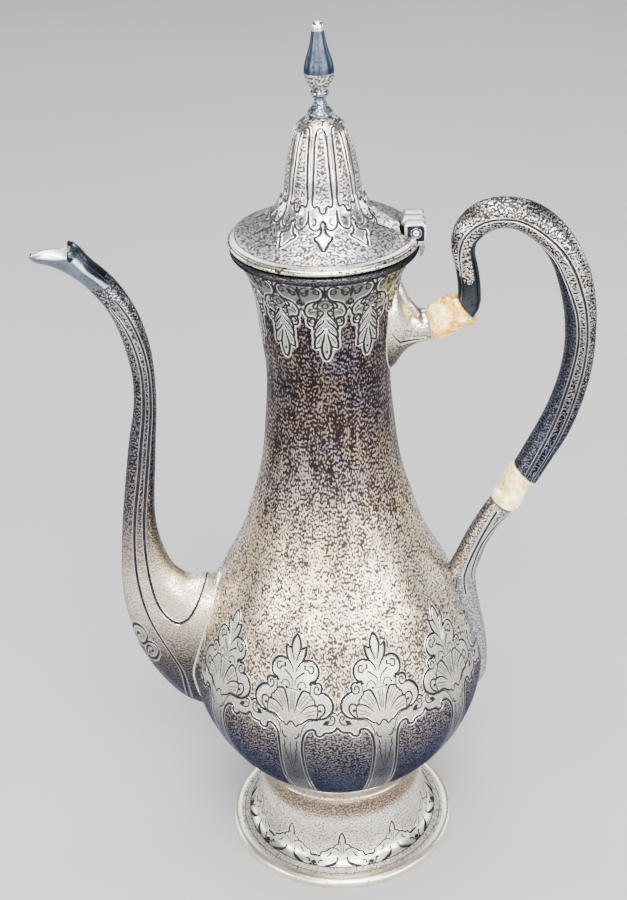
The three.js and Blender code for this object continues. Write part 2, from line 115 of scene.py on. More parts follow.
class Lofted:
    """Sections across the XZ plane: rows of (ux, uz, lx, lz, half width, power).
    u is degrees round the section, 0 at the l end and 180 at the u end, with -Y between 0 and 180."""

    def __init__(self, sections, per=8, shape=None, spread=None):
        rows = smooth(sections, per)
        self.rows = rows
        c = (rows[:, 0:2] + rows[:, 2:4]) / 2
        self.s = lengths(c)
        self.end = self.s[-1]
        self.shape = shape

    def P(self, u, s):
        u, s = np.broadcast_arrays(np.asarray(u, float), np.asarray(s, float))
        col = [np.interp(s, self.s, self.rows[:, i]) for i in range(self.rows.shape[1])]
        f = np.radians(u + 180)
        c, n = np.cos(f), np.sin(f)
        if len(col) > 5:
            k = col[5]
            c = np.sign(c) * np.abs(c) ** k
            n = np.sign(n) * np.abs(n) ** k
        if self.shape is not None:
            m = self.shape(u, s)
            c, n = c * m, n * m
        x = (col[0] + col[2]) / 2 + (col[0] - col[2]) / 2 * c
        z = (col[1] + col[3]) / 2 + (col[1] - col[3]) / 2 * c
        return np.stack([x, col[4] * n, z], -1)

    def parts(self, u, s):
        e, d = 0.6, 0.08
        pu = (self.P(u + e, s) - self.P(u - e, s)) / (2 * e)
        hi, lo = np.minimum(s + d, self.end), np.maximum(s - d, 0)
        ps = (self.P(u, hi) - self.P(u, lo)) / (hi - lo + 1e-12)[..., None]
        return pu, ps

    def N(self, u, s):
        u, s = np.broadcast_arrays(np.asarray(u, float), np.asarray(s, float))
        pu, ps = self.parts(u, s)
        n = np.cross(pu, ps)
        n /= np.linalg.norm(n, axis=-1, keepdims=True) + 1e-12
        cx = np.interp(s, self.s, (self.rows[:, 0] + self.rows[:, 2]) / 2)
        cz = np.interp(s, self.s, (self.rows[:, 1] + self.rows[:, 3]) / 2)
        out = self.P(u, s) - np.stack([cx, np.zeros_like(cx), cz], -1)
        flip = np.sign((n * out).sum(-1))
        flip[flip == 0] = 1
        return n * flip[..., None]

    def scale(self, u, s):
        u, s = np.broadcast_arrays(np.asarray(u, float), np.asarray(s, float))
        pu, ps = self.parts(u, s)
        return np.maximum(np.linalg.norm(pu, axis=-1), 1e-3), np.maximum(np.linalg.norm(ps, axis=-1), 1e-3)


# --------------------------------------------------------------- engraving
def stroke(surf, points, width, mirror=True, sharp=False, to_s=None, flank=False):
    """Engraved line(s) through (u, position) points, as centre line, half widths and side lines."""
    p = np.asarray(points, float)
    if to_s is not None:
        p = np.column_stack([p[:, 0], to_s(p[:, 1])])
    ku, ks = surf.scale(p[:, 0], p[:, 1])
    k = float(np.mean(ku))
    q = p * [k, 1.0]
    fine = q if sharp else smooth(q, 14)
    L = lengths(fine)
    if sharp:
        n = max(1, int(round(L[-1] / 1.2)))
        at = np.unique(np.concatenate([L, np.linspace(0, L[-1], n + 1)]))
    else:
        d = np.diff(fine, axis=0)
        ang = np.unwrap(np.arctan2(d[:, 1], d[:, 0]))
        bend = np.abs(np.diff(ang)) / np.maximum(np.diff((L[1:] + L[:-1]) / 2), 1e-6)
        bend = np.concatenate([[bend[0]], bend, [bend[-1]]]) if len(bend) else np.zeros(len(L))
        step = np.clip(0.42 / np.maximum(bend, 1e-3), 0.32, 1.5)
        need = np.concatenate([[0.0], np.cumsum(np.diff(L) / ((step[1:] + step[:-1]) / 2))])
        n = max(2, int(math.ceil(need[-1])))
        at = np.interp(np.linspace(0, need[-1], n + 1), need, L)
    c = np.column_stack([np.interp(at, L, fine[:, 0]), np.interp(at, L, fine[:, 1])]) / [k, 1.0]
    w = np.atleast_1d(np.asarray(width, float)) / 2
    hw = np.interp(at / max(L[-1], 1e-9), np.linspace(0, 1, len(w)), w) if len(w) > 1 else np.full(len(at), w[0])
    ku, ks = surf.scale(c[:, 0], c[:, 1])
    m = np.column_stack([np.gradient(c[:, 0]) * ku, np.gradient(c[:, 1]) * ks])
    m /= np.linalg.norm(m, axis=1)[:, None] + 1e-12
    nrm = np.column_stack([-m[:, 1] / ku, m[:, 0] / ks])
    left, right = c + nrm * hw[:, None], c - nrm * hw[:, None]
    one = {"c": c, "hw": hw, "l": left, "r": right, "n": nrm, "flank": flank}
    if not mirror:
        return [one]
    two = {key: (val * [-1, 1] if getattr(val, "ndim", 0) == 2 else val) for key, val in one.items()}
    return [one, two]


def mirrored(points):
    """A closed outline from half of it, given from the axis out and back to the axis."""
    p = [tuple(v) for v in points]
    return p + [(-u, v) for u, v in reversed(p)]


def inside(poly, pts):
    x, y = pts[:, 0], pts[:, 1]
    hit = np.zeros(len(pts), bool)
    px, py = poly[:, 0], poly[:, 1]
    for i in range(len(poly)):
        x1, y1, x2, y2 = px[i - 1], py[i - 1], px[i], py[i]
        if y1 == y2:
            continue
        cross = (y1 > y) != (y2 > y)
        hit ^= cross & (x < (x2 - x1) * (y - y1) / (y2 - y1) + x1)
    return hit


def engrave(surf, s0, s1, strokes, areas=(), half=HALF, grid=(2.6, 2.4), depth=0.5, deepest=0.15, ring=STEP, side=2.4,
            ground=0, line=2, hole=None, flank=None):
    """Triangulates one sector of the surface, u from -half to half and s from s0 to s1, round the strokes.
    areas is a list of (outline, material index), and the last one that holds a triangle wins.
    flank is (width, height, material index) of the raised edge beside each stroke that has one."""
    mid = (s0 + s1) / 2
    k = float(np.mean(surf.scale(np.array([0.0, half / 2]), np.array([mid, mid]))[0]))
    verts, edges = [], []

    def put(p):
        verts.append((float(p[0]) * k, float(p[1])))
        return len(verts) - 1

    def chain(ps, closed=False):
        ids = [put(p) for p in ps]
        for a, b in zip(ids, ids[1:]):
            edges.append((a, b))
        if closed:
            edges.append((ids[-1], ids[0]))
        return ids

    us = np.linspace(-half, half, int(round(2 * half / ring)) + 1)
    ns = max(2, int(round((s1 - s0) / side)))
    ss = np.linspace(s0, s1, ns + 1)
    chain([(u, s0) for u in us] + [(half, s) for s in ss[1:]] + [(u, s1) for u in us[::-1][1:]] + [(-half, s) for s in ss[::-1][1:-1]], True)
    seg_a, seg_b, wa, wb, raised = [], [], [], [], []
    for st in strokes:
        keep = (np.abs(st["c"][:, 0]) <= half + 3) & (st["c"][:, 1] > s0 - 2) & (st["c"][:, 1] < s1 + 2)
        if keep.sum() < 2:
            continue
        c = chain(st["c"]); l = chain(st["l"]); r = chain(st["r"])
        for e in (0, -1):
            edges.append((l[e], c[e])); edges.append((c[e], r[e]))
        if flank and st.get("flank"):
            for out in (flank[0] * 0.45, flank[0]):
                for sign in (1, -1):
                    chain(st["c"] + sign * st["n"] * (st["hw"] + out)[:, None])
        seg_a.append(st["c"][:-1]); seg_b.append(st["c"][1:])
        wa.append(st["hw"][:-1]); wb.append(st["hw"][1:])
        raised.append(np.full(len(st["c"]) - 1, bool(st.get("flank"))))
    if hole is not None:
        hole = np.asarray(hole, float)
        chain(hole, True)
    if seg_a:
        seg_a, seg_b = np.vstack(seg_a), np.vstack(seg_b)
        wa, wb, raised = np.concatenate(wa), np.concatenate(wb), np.concatenate(raised)

    def near(pts, which=None):
        """Distance in mm from the edge of the nearest stroke, less than 0 inside it."""
        best = np.full(len(pts), 1e9)
        if not len(seg_a):
            return best
        pick = slice(None) if which is None else which
        A, Bq, WA, WB = seg_a[pick], seg_b[pick], wa[pick], wb[pick]
        if not len(A):
            return best
        ku, ks = surf.scale(pts[:, 0], pts[:, 1])
        for i in range(0, len(pts), 1500):
            q = pts[i:i + 1500]
            m = np.stack([ku[i:i + 1500], ks[i:i + 1500]], -1)[:, None, :]
            a = A[None] * m; b = Bq[None] * m; x = q[:, None, :] * m
            d = b - a
            t = np.clip(((x - a) * d).sum(-1) / ((d * d).sum(-1) + 1e-12), 0, 1)
            dist = np.linalg.norm(x - a - d * t[..., None], axis=-1)
            best[i:i + 1500] = (dist - (WA[None] * (1 - t) + WB[None] * t)).min(1)
        return best

    gu = np.arange(-half + grid[0] / 2 / k, half, grid[0] / k)
    gu = (gu - gu[::-1]) / 2 if len(gu) > 1 else gu
    gs = np.linspace(s0, s1, max(2, int(round((s1 - s0) / grid[1]))) + 1)[1:-1]
    G = np.array([(u, s) for s in gs for u in gu])
    if len(G):
        for p in G[near(G) > (0.45 if flank is None else 1.1)]:
            put(p)
    out = delaunay_2d_cdt([Vector(v) for v in verts], edges, [], 0, 1e-5, False)
    V = np.array([[v[0] / k, v[1]] for v in out[0]])
    F = np.array([f for f in out[2] if len(f) == 3])
    a, b, c = V[F[:, 0]], V[F[:, 1]], V[F[:, 2]]
    area = (b[:, 0] - a[:, 0]) * (c[:, 1] - a[:, 1]) - (b[:, 1] - a[:, 1]) * (c[:, 0] - a[:, 0])
    F[area < 0] = F[area < 0][:, ::-1]
    cen = (a + b + c) / 3
    ok = (np.abs(cen[:, 0]) < half) & (cen[:, 1] > s0) & (cen[:, 1] < s1) & (np.abs(area) > 1e-7)
    if hole is not None:
        ok &= ~inside(hole, cen)
    F, cen = F[ok], cen[ok]
    mat = np.full(len(F), ground)
    for o, index in areas:
        mat[inside(np.asarray(o, float), cen)] = index
    flat = np.zeros(len(F), bool)
    if flank is not None and len(seg_a):
        f = near(cen, raised)
        flat = f < flank[0]
        mat[flat] = flank[2]
    cut = near(cen) < 0.004
    mat[cut] = line
    flat |= cut
    used = np.unique(F)
    new = np.full(len(V), -1); new[used] = np.arange(len(used))
    V, F = V[used], new[F]
    V[:, 0] = np.clip(V[:, 0], -half, half); V[:, 1] = np.clip(V[:, 1], s0, s1)
    d = near(V)
    dep = np.where(d < 0, np.minimum(-d * depth, deepest), 0.0)
    if flank is not None and len(seg_a):
        f = near(V, raised)
        lift = np.interp(f, [0, flank[0] * 0.45, flank[0]], [0, flank[1], 0], left=0, right=0)
        dep = np.where(d < 1e-6, dep, -lift)
    dep[(V[:, 1] < s0 + 1e-6) | (V[:, 1] > s1 - 1e-6)] = 0
    return {"V": V, "F": F, "mat": mat, "dep": dep, "surf": surf, "flat": flat}


# ------------------------------------------------------------------ meshes
class Build:
    """Collects patches of faces with a normal for each vertex, and makes one object of them."""

    def __init__(self, name):
        self.name, self.v, self.n, self.f, self.m, self.count = name, [], [], [], [], 0

    def add(self, P, N, F, mat):
        self.v.append(P); self.n.append(N)
        self.f.extend([[int(i) + self.count for i in f] for f in F])
        self.m.extend(np.broadcast_to(mat, len(F)).tolist())
        self.count += len(P)

    def patch(self, e, centre=0.0, repeats=1, push=0.0, inner=False, swap=None):
        """Adds an engraved sector, repeated round the axis. push moves it inward, inner faces it inward."""
        surf, V = e["surf"], e["V"]
        for i in range(repeats):
            u = V[:, 0] + centre + i * 360.0 / repeats
            P, N = surf.P(u, V[:, 1]), surf.N(u, V[:, 1])
            Q = P - N * ((0 if inner else e["dep"]) + push)[:, None] if not np.isscalar(e["dep"]) and not inner else P - N * push
            F, flat = e["F"], e["flat"]
            geo = np.cross(Q[F[:, 1]] - Q[F[:, 0]], Q[F[:, 2]] - Q[F[:, 0]])
            geo /= np.linalg.norm(geo, axis=1)[:, None] + 1e-15
            if (geo * N[F[:, 0]]).sum() < 0:
                F, geo = F[:, ::-1], -geo
            if inner:
                self.add(Q, -N, F[:, ::-1], e["mat"] if swap is None else swap)
                continue
            self.add(Q, N, F[~flat], e["mat"][~flat])
            if flat.any():
                T = F[flat]
                tri = np.arange(len(T) * 3).reshape(-1, 3)
                self.add(Q[T].reshape(-1, 3), np.repeat(geo[flat], 3, axis=0), tri, e["mat"][flat])

    def turn(self, profile, mat=0, flip=False, step=STEP, sharp=30.0, smooth_it=False, per=6):
        """A turned band from an (r, z) profile, outside on the left hand of its direction unless flip."""
        p = smooth(profile, per) if smooth_it else np.asarray(profile, float)
        n = int(round(360 / step))
        a = np.radians(np.arange(n) * 360.0 / n)
        d = np.diff(p, axis=0)
        d /= np.linalg.norm(d, axis=1)[:, None] + 1e-12
        nrm = np.column_stack([d[:, 1], -d[:, 0]]) * (-1 if flip else 1)
        for i in range(len(p) - 1):
            n0 = nrm[i] + nrm[i - 1] if i > 0 and nrm[i] @ nrm[i - 1] > math.cos(math.radians(sharp)) else nrm[i]
            n1 = nrm[i] + nrm[i + 1] if i < len(p) - 2 and nrm[i] @ nrm[i + 1] > math.cos(math.radians(sharp)) else nrm[i]
            rows = []
            for (r, z), (nr, nz) in ((p[i], n0), (p[i + 1], n1)):
                q = np.column_stack([r * np.sin(a), -r * np.cos(a), np.full(n, z)])
                m = np.column_stack([nr * np.sin(a), -nr * np.cos(a), np.full(n, nz)])
                rows.append((q, m / (np.linalg.norm(m, axis=1)[:, None] + 1e-12)))
            k = np.arange(n); k2 = (k + 1) % n
            r0, r1 = p[i][0] > 1e-4, p[i + 1][0] > 1e-4
            if r0 and r1:
                F = [[a0, a1, n + a1, n + a0] for a0, a1 in zip(k, k2)]
            elif r1:
                F = [[a0, n + a1, n + a0] for a0, a1 in zip(k, k2)]
            else:
                F = [[a0, a1, n + a0] for a0, a1 in zip(k, k2)]
            if flip:
                F = [f[::-1] for f in F]
            self.add(np.vstack([rows[0][0], rows[1][0]]), np.vstack([rows[0][1], rows[1][1]]), F, mat)

    def grid(self, P, mat=0, flip=False, close_u=True, N=None):
        """A grid of points (rows along s, columns round u)."""
        R, C = P.shape[:2]
        F = []
        cols = C if close_u else C - 1
        for i in range(R - 1):
            for j in range(cols):
                j2 = (j + 1) % C
                f = [i * C + j, i * C + j2, (i + 1) * C + j2, (i + 1) * C + j]
                F.append(f[::-1] if flip else f)
        if N is None:
            du = np.roll(P, -1, 1) - np.roll(P, 1, 1)
            ds = np.gradient(P, axis=0)
            N = np.cross(du, ds)
            N /= np.linalg.norm(N, axis=-1, keepdims=True) + 1e-12
            if flip:
                N = -N
        self.add(P.reshape(-1, 3), N.reshape(-1, 3), F, mat)

    def make(self, materials, weld=0.001, shape=None, keep_normals=True):
        V, N = np.vstack(self.v), np.vstack(self.n)
        if shape is not None:
            V = shape(V)
        cell = np.floor((V + 0.000371) / weld).astype(np.int64)
        _, first, ids = np.unique(cell, axis=0, return_index=True, return_inverse=True)
        ids = ids.reshape(-1)
        pts = V[first]
        faces, mats, loops = [], [], []
        for f, m in zip(self.f, self.m):
            g, src = [], []
            for i in f:
                j = int(ids[i])
                if j not in g:
                    g.append(j); src.append(i)
            if len(g) < 3:
                continue
            faces.append(g); mats.append(m); loops.extend(src)
        me = bpy.data.meshes.new(self.name)
        me.from_pydata((np.array(pts) * MM).tolist(), [], faces)
        for mat in materials:
            me.materials.append(mat)
        me.polygons.foreach_set("material_index", mats)
        me.polygons.foreach_set("use_smooth", [True] * len(faces))
        me.update()
        if keep_normals:
            me.normals_split_custom_set(N[loops].tolist())
        ob = bpy.data.objects.new(self.name, me)
        bpy.context.scene.collection.objects.link(ob)
        return ob


# ---------------------------------------------------------------- profiles
# turned outlines, (r, z) in mm
BODY = [(0, 26.6), (8, 26.7), (15, 26.9), (20, 27.6), (22.6, 28.4), (24.8, 30.1), (27.3, 32), (29.6, 34), (31.6, 36), (33.4, 38),
        (34.9, 40), (36.2, 42), (37.4, 44), (38.5, 46), (40.2, 50), (41.5, 54), (42.3, 58), (42.6, 61), (42.3, 64), (41.3, 68),
        (40.1, 72), (38.8, 76), (37.4, 80), (35.9, 84), (34.6, 88), (33.1, 92), (31.0, 96), (28.9, 100), (27.0, 104), (25.3, 108),
        (24.0, 112), (22.2, 118), (20.45, 124), (19.15, 130), (18.25, 136), (17.65, 142), (17.05, 148), (16.65, 154), (16.65, 160),
        (17.3, 166), (17.9, 172), (18.5, 178), (19.2, 182), (20.4, 186), (21.3, 188), (22.2, 190), (22.6, 191), (22.75, 192.2),
        (22.75, 193.3)]
LID = [(24.0, 195.9), (22.8, 196.2), (20.8, 197.1), (19.0, 198.1), (17.2, 199.1), (15.6, 200.1), (14.3, 201), (13.3, 202),
       (12.5, 203), (11.9, 204), (11.35, 205), (11.0, 206), (10.4, 207), (9.95, 208), (9.65, 210), (9.45, 212), (9.1, 214),
       (8.7, 216), (8.3, 218), (7.8, 220), (7.2, 222), (6.9, 223), (6.4, 224), (5.6, 225), (4.5, 226), (3.4, 226.7), (2.2, 227.0),
       (0.9, 227.1)]
FOOT = [(34.2, 1.6), (33.6, 2.4), (31.8, 2.6), (29, 3.6), (27.5, 4.6), (26.3, 6.5), (25.9, 10), (25.6, 13), (25.0, 16),
        (24.3, 18.5), (23.7, 21), (23.5, 23.5), (23.8, 25.2), (24.5, 26)]
body_s, lid_s, foot_s = Turned(BODY), Turned(LID), Turned(FOOT)


def body_r(z):
    return body_s.radius(body_s.at_z(z))


def up(points):
    """(u, z) points on the body as (u, s)."""
    p = np.asarray(points, float)
    return np.column_stack([p[:, 0], body_s.at_z(p[:, 1])])


def join(*parts):
    return np.vstack([np.asarray(p, float) for p in parts])


def sm(surf, points):
    """The same smooth line that a stroke through these points follows."""
    p = np.asarray(points, float)
    k = float(np.mean(surf.scale(p[:, 0], p[:, 1])[0]))
    return smooth(p * [k, 1.0], 6) / [k, 1.0]


# --------------------------------------------------- ornament on the belly
# half a motif, (degrees from its centre, z in mm); the other half is its mirror image
B = {
    "leaf": ([(0, 92.3), (0.9, 91.8), (1.6, 90.9), (2.1, 89.7), (2.15, 88.6), (1.7, 87.6), (1.1, 86.4), (0.6, 85.1)], [.55, .5, .2]),
    "side_top": ([(2.2, 88.5), (3.2, 88.75), (4.0, 89.05), (4.75, 89.35)], [.45]),
    "side_out": ([(4.75, 89.2), (4.75, 88.0), (4.45, 86.9), (3.9, 85.9), (3.3, 85.2), (2.4, 84.6), (1.5, 83.8), (0.9, 82.9), (0.55, 82.1)], [.6, .6, .45, .2]),
    "volute": ([(3.5, 85.35), (4.6, 85.5), (6.2, 85.7), (7.8, 85.5), (9.3, 84.8), (10.3, 83.7), (10.6, 82.5), (10.3, 81.3), (9.5, 80.5), (8.5, 80.05), (7.4, 79.95)], [.55]),
    "inner": ([(0.7, 80.2), (1.4, 80.8), (2.4, 81.4), (3.4, 81.9), (4.2, 82.25), (4.6, 82.3)], [.3, .45]),
    "tip": ([(4.6, 84.3), (4.5, 83.7), (4.6, 83.2)], [.45]),
    "tip2": ([(4.6, 83.2), (5.6, 83.1), (6.3, 82.9)], [.35]),
    "eye": ([(6.3, 84.0), (7.2, 84.25), (8.1, 83.9), (8.4, 83.2), (8.0, 82.5), (7.2, 82.2), (6.4, 82.5), (6.3, 82.9)], [.4]),
    "curl": ([(11.9, 77.9), (12.0, 78.7), (11.5, 79.4), (10.6, 79.75), (9.5, 79.75), (8.6, 79.6), (8.0, 79.9)], [.55]),
    "curl_eye": ([(11.9, 77.9), (11.6, 77.3), (10.8, 76.9), (9.8, 76.8), (9.0, 77.2), (8.7, 77.9), (9.0, 78.6), (9.7, 78.9), (10.3, 78.7), (10.6, 78.2), (10.2, 77.8)], [.4]),
    "cee": ([(11.8, 77.3), (12.9, 77.2), (14.2, 76.7), (15.3, 75.9), (16.2, 74.8), (16.5, 73.6), (16.3, 72.5), (15.6, 71.6), (14.6, 70.9), (13.5, 70.4), (12.4, 70.1), (10.5, 69.95), (8.5, 69.9), (6.9, 69.75), (5.7, 69.2), (4.9, 68.6), (4.1, 68.2)], [.6, .6, .45]),
    "cee_in": ([(8.0, 79.9), (7.5, 79.0), (7.2, 78.0), (7.2, 77.1)], [.3]),
    "teeth": ([(7.1, 76.9), (7.2, 76.3), (7.9, 76.0), (8.2, 75.4), (8.9, 75.2), (9.2, 74.6), (9.1, 74.2), (9.6, 73.9)], [.4]),
    "band": ([(4.9, 77.5), (5.8, 77.3), (6.6, 77.2), (7.1, 76.9)], [.45]),
    "rib": ([(4.9, 77.5), (4.1, 77.3), (3.4, 76.7), (2.8, 75.7), (2.2, 74.6), (1.8, 73.4), (1.4, 72.1), (1.1, 71.0)], [.55, .45, .2]),
    "arc": ([(5.4, 78.5), (5.0, 79.2), (4.2, 79.7), (3.2, 79.75), (2.4, 79.4), (1.8, 78.8), (1.5, 78.1)], [.3]),
    "stem": ([(0.7, 79.9), (0.65, 79.1), (0.6, 78.3)], [.22]),
    "shell": ([(0.05, 77.65), (0.9, 77.55), (1.8, 77.6), (2.5, 77.7)], [.22]),
    "low_rib": ([(10.1, 73.6), (9.0, 73.75), (7.7, 73.65), (6.5, 73.3), (5.3, 72.7), (4.3, 71.9), (3.4, 71.1)], [.5, .4, .2]),
    "fine1": ([(0.9, 76.9), (0.5, 72)], [.2]),
    "fine2": ([(5.3, 76.6), (4.0, 75.1), (2.5, 73.2)], [.2]),
    "fine3": ([(6.3, 76.3), (4.9, 74.8), (3.2, 72.9)], [.2]),
    "fine4": ([(7.6, 75.3), (5.9, 74.1), (3.8, 72.3)], [.2]),
    "fine5": ([(9.5, 72.3), (7.2, 71.8), (5, 70.9)], [.2]),
    "fine6": ([(9.3, 71.2), (7.3, 70.9), (5.4, 70.3)], [.2]),
    "vol_in": ([(10.3, 73.7), (11.2, 74.1), (12.3, 74.1), (13.1, 73.5), (13.3, 72.6), (12.9, 71.7), (12.1, 71.0), (11.0, 70.4)], [.45]),
    "vol_edge": ([(10.2, 73.3), (10.45, 72.5), (10.4, 71.6), (10.2, 70.6), (10.0, 70.0)], [.35]),
    "base": ([(4.0, 68.2), (3.2, 68.1), (2.6, 67.7), (1.9, 67.25), (1.4, 67.6), (0.8, 68.3), (0.05, 68.7)], [.4]),
    "strap_in": ([(10.5, 69.5), (8.5, 69.5), (6.9, 69.2), (5.8, 68.5), (5.0, 67.6), (4.4, 66.6), (4.0, 65.4), (3.8, 64.4)], [.25]),
    "strap": ([(18, 67.8), (17.3, 67.0), (16.4, 66.5), (15, 66.2), (13.6, 66.2), (12.8, 65.9), (12.2, 65.35), (11.3, 65.1), (10.3, 65.2), (9.7, 65.6), (9.6, 66.2), (9.55, 66.55), (8.9, 66.9), (7.9, 66.9), (6.9, 66.6), (6.0, 66.0), (5.3, 65.2), (4.9, 64.3), (4.6, 63), (4.4, 61), (4.35, 59), (4.5, 55), (4.75, 50), (5.05, 45), (5.4, 40), (5.9, 36), (6.6, 32), (7.3, 29.6)], [.6, .6, .5, .45]),
    "strap_thin": ([(5.6, 63.4), (5.35, 61), (5.3, 59), (5.45, 55), (5.75, 50), (6.1, 45), (6.5, 40), (7.05, 36), (7.8, 32), (8.4, 29.8)], [.22]),
    "end_vol": ([(12.4, 68.6), (13.6, 68.45), (15, 68.4), (16.1, 68.6), (16.9, 69.2), (17.1, 70), (16.7, 70.8), (16.0, 71.0), (15.4, 70.6), (15.5, 70.0), (16, 69.9)], [.35]),
    "end_up": ([(14.9, 71.4), (15.9, 71.95), (16.9, 71.9), (17.6, 71.5), (18, 71.0)], [.4]),
    "hook": ([(3.3, 65.6), (3.2, 64.8), (2.7, 64.1), (1.9, 63.75), (1.5, 63.9)], [.3, .45]),
    "husk": ([(2.6, 62.9), (2.2, 61.5), (2.6, 60.6), (1.8, 59.2), (2.1, 58.2), (1.4, 56.8), (1.6, 55.8), (0.9, 54.4), (0.9, 53.4), (0.35, 52), (0.05, 51)], [.3]),
    "ring_arc": ([(3.2, 49.2), (2.2, 50.2), (1.1, 50.3), (0.05, 50.2)], [.3]),
    "low_leaf": ([(0.05, 46.8), (1.2, 45.6), (1.0, 44.2), (1.9, 43), (1.6, 41.2), (2.4, 39.6), (2.1, 37.6), (2.8, 35.6), (2.6, 33)], [.28]),
}
B_VEINS = [([(0, 77), (0, 72)], .2), ([(0, 62.5), (0, 53)], .22), ([(0, 45), (0, 34)], .22)]
B_DOTS = [(2.9, 77.8, .45), (5.4, 78.5, .3), (7.0, 79.4, .45), (11.3, 72.3, .5)]
B_FILL = [(12.4, 69.3), (13.6, 69.6), (14.8, 69.6), (15.2, 69.1), (14.4, 68.8), (13.2, 68.8)]

# ----------------------------------------------------- ornament on the neck
N = {
    "drop": ([(0.05, 168.2), (1.3, 168.4), (2.5, 169.1), (3.5, 170.2), (3.95, 171.4), (3.8, 172.3), (3.1, 173.2), (2.3, 174.1), (1.6, 175.0), (1.2, 175.8)], [.55, .55, .35]),
    "drop_in": ([(0.9, 170.9), (0.5, 170.4), (0.05, 170.2)], [.3]),
    "leaf3a": ([(4.0, 172.1), (5.9, 171.9), (7.8, 171.6), (9.3, 171.6)], [.4]),
    "leaf3b": ([(9.3, 171.6), (9.7, 172.6), (9.4, 173.6), (8.6, 174.4), (7.4, 174.9), (5.7, 175.5), (3.8, 176.0), (2.4, 176.6), (1.4, 177.3)], [.55, .45, .3]),
    "vein3": ([(7.6, 172.9), (5.5, 174), (3.6, 175)], [.22]),
    "leaf2": ([(9.2, 174.6), (9.5, 175.3), (9.2, 176.2), (8.3, 177.0), (6.9, 177.7), (5.2, 178.3), (3.4, 178.8), (2, 179.3), (1.1, 180)], [.55, .45, .3]),
    "vein2": ([(7.4, 176.1), (5.4, 177.0), (3.4, 177.9)], [.22]),
    "leaf1": ([(9.3, 176.8), (9.5, 177.6), (8.6, 178.4), (7.4, 179.2), (5.9, 180.0), (4.2, 180.6), (2.4, 181.2), (1.2, 182)], [.5, .4, .3]),
    "vein1": ([(7.2, 178.2), (5, 179.3), (3, 180.1)], [.22]),
    "petals": ([(0.05, 186.0), (1.8, 185.95), (3.2, 185.5), (4.6, 185.2), (5.6, 184.6), (5.7, 183.9), (4.8, 183.3), (3.6, 182.9), (2.4, 182.5), (1.2, 182.3)], [.35]),
    "petal_mid": ([(2.3, 184.3), (4.6, 184.3)], [.25]),
    "lobes": ([(2.3, 181.7), (3.6, 181.1), (5.0, 181.2), (6.0, 181.8), (5.7, 182.5), (4.6, 182.6)], [.4]),
    "top_vol": ([(8.2, 190.2), (6.2, 190.4), (4.2, 190.4), (2.6, 189.9), (1.5, 189.1), (1.2, 188.2), (1.5, 187.3), (2.6, 186.5), (4.2, 185.9), (5.9, 185.5), (7.4, 184.9), (8.8, 184.1), (8.0, 183.5), (6.4, 183.4), (5.7, 183.9)], [.5]),
    "top_eye": ([(9.6, 189.9), (7.6, 189.75), (5.6, 189.7), (4.1, 189.2), (3.8, 188.5), (4.5, 188.0), (5.8, 188.05), (7.2, 188.3), (7.6, 188.9), (6.6, 189.1)], [.4]),
    "stem": ([(0.35, 190.3), (0.45, 188), (0.5, 186.6)], [.25]),
    "cee": ([(5.0, 185.7), (7.3, 185.5), (10.1, 185.25), (12.6, 184.7), (14.6, 183.8), (15.8, 182.7), (15.7, 181.9), (14.9, 181.1), (13.3, 180.6), (11, 180.6), (9, 180.5), (8.2, 179.9), (8.1, 179.2), (8.9, 178.8)], [.5]),
    "cee_v1": ([(8.2, 183.3), (10.5, 183.2), (12.6, 182.6), (13.6, 181.9)], [.22]),
    "cee_v2": ([(8.0, 182.2), (10, 182.2), (12, 181.7)], [.22]),
    "cee_in": ([(6.1, 183.2), (5.8, 182), (6.2, 180.9), (7.2, 180.0)], [.35]),
    "curl": ([(13.3, 180.6), (14.2, 179.8), (14.2, 179.0), (13.4, 178.35), (11.8, 178.0), (10.2, 178.0), (9.2, 178.2)], [.45]),
    "curl_eye": ([(9.0, 180.1), (10.5, 180.2), (11.9, 180.0), (12.6, 179.5), (12, 179.0), (10.6, 178.9), (9.4, 179.1)], [.35]),
    "link": ([(16.3, 182.4), (17.1, 182.8), (18, 183.4)], [.35]),
    "diamond": ([(18, 186.3), (16.6, 185.6), (14.9, 184.9), (16.4, 184.3), (18, 184.0)], [.3]),
    "upper": ([(11.3, 189.3), (11.7, 188.3), (12.9, 187.6), (14.2, 187.4), (15.4, 187.9)], [.55]),
    "upper_leaf": ([(11.8, 189.9), (13.4, 190.1), (15.2, 189.8), (16.6, 189.2), (16.4, 188.7), (14.8, 188.4), (13.2, 188.5), (12.6, 189.1)], [.3]),
    "upper_end": ([(18, 190.2), (17.4, 189), (17.6, 187.8), (18, 187)], [.4]),
}
N_EDGE = [(18, 183.1), (17.2, 182.6), (16.2, 182.1), (15.9, 181.9), (15.1, 181.2), (13.4, 180.6), (14.1, 179.6), (13.9, 178.8),
          (13.2, 178.3), (11.6, 178.0), (10.2, 178.0), (9.4, 177.9), (9.5, 177.3), (9.4, 176.7), (9.5, 175.2), (9.3, 174.6),
          (9.6, 173), (9.3, 171.7), (8, 171.6), (5.9, 171.9), (4.1, 172.0), (3.95, 171.4), (3.5, 170.2), (2.5, 169.1), (1.3, 168.4),
          (0, 168.2)]

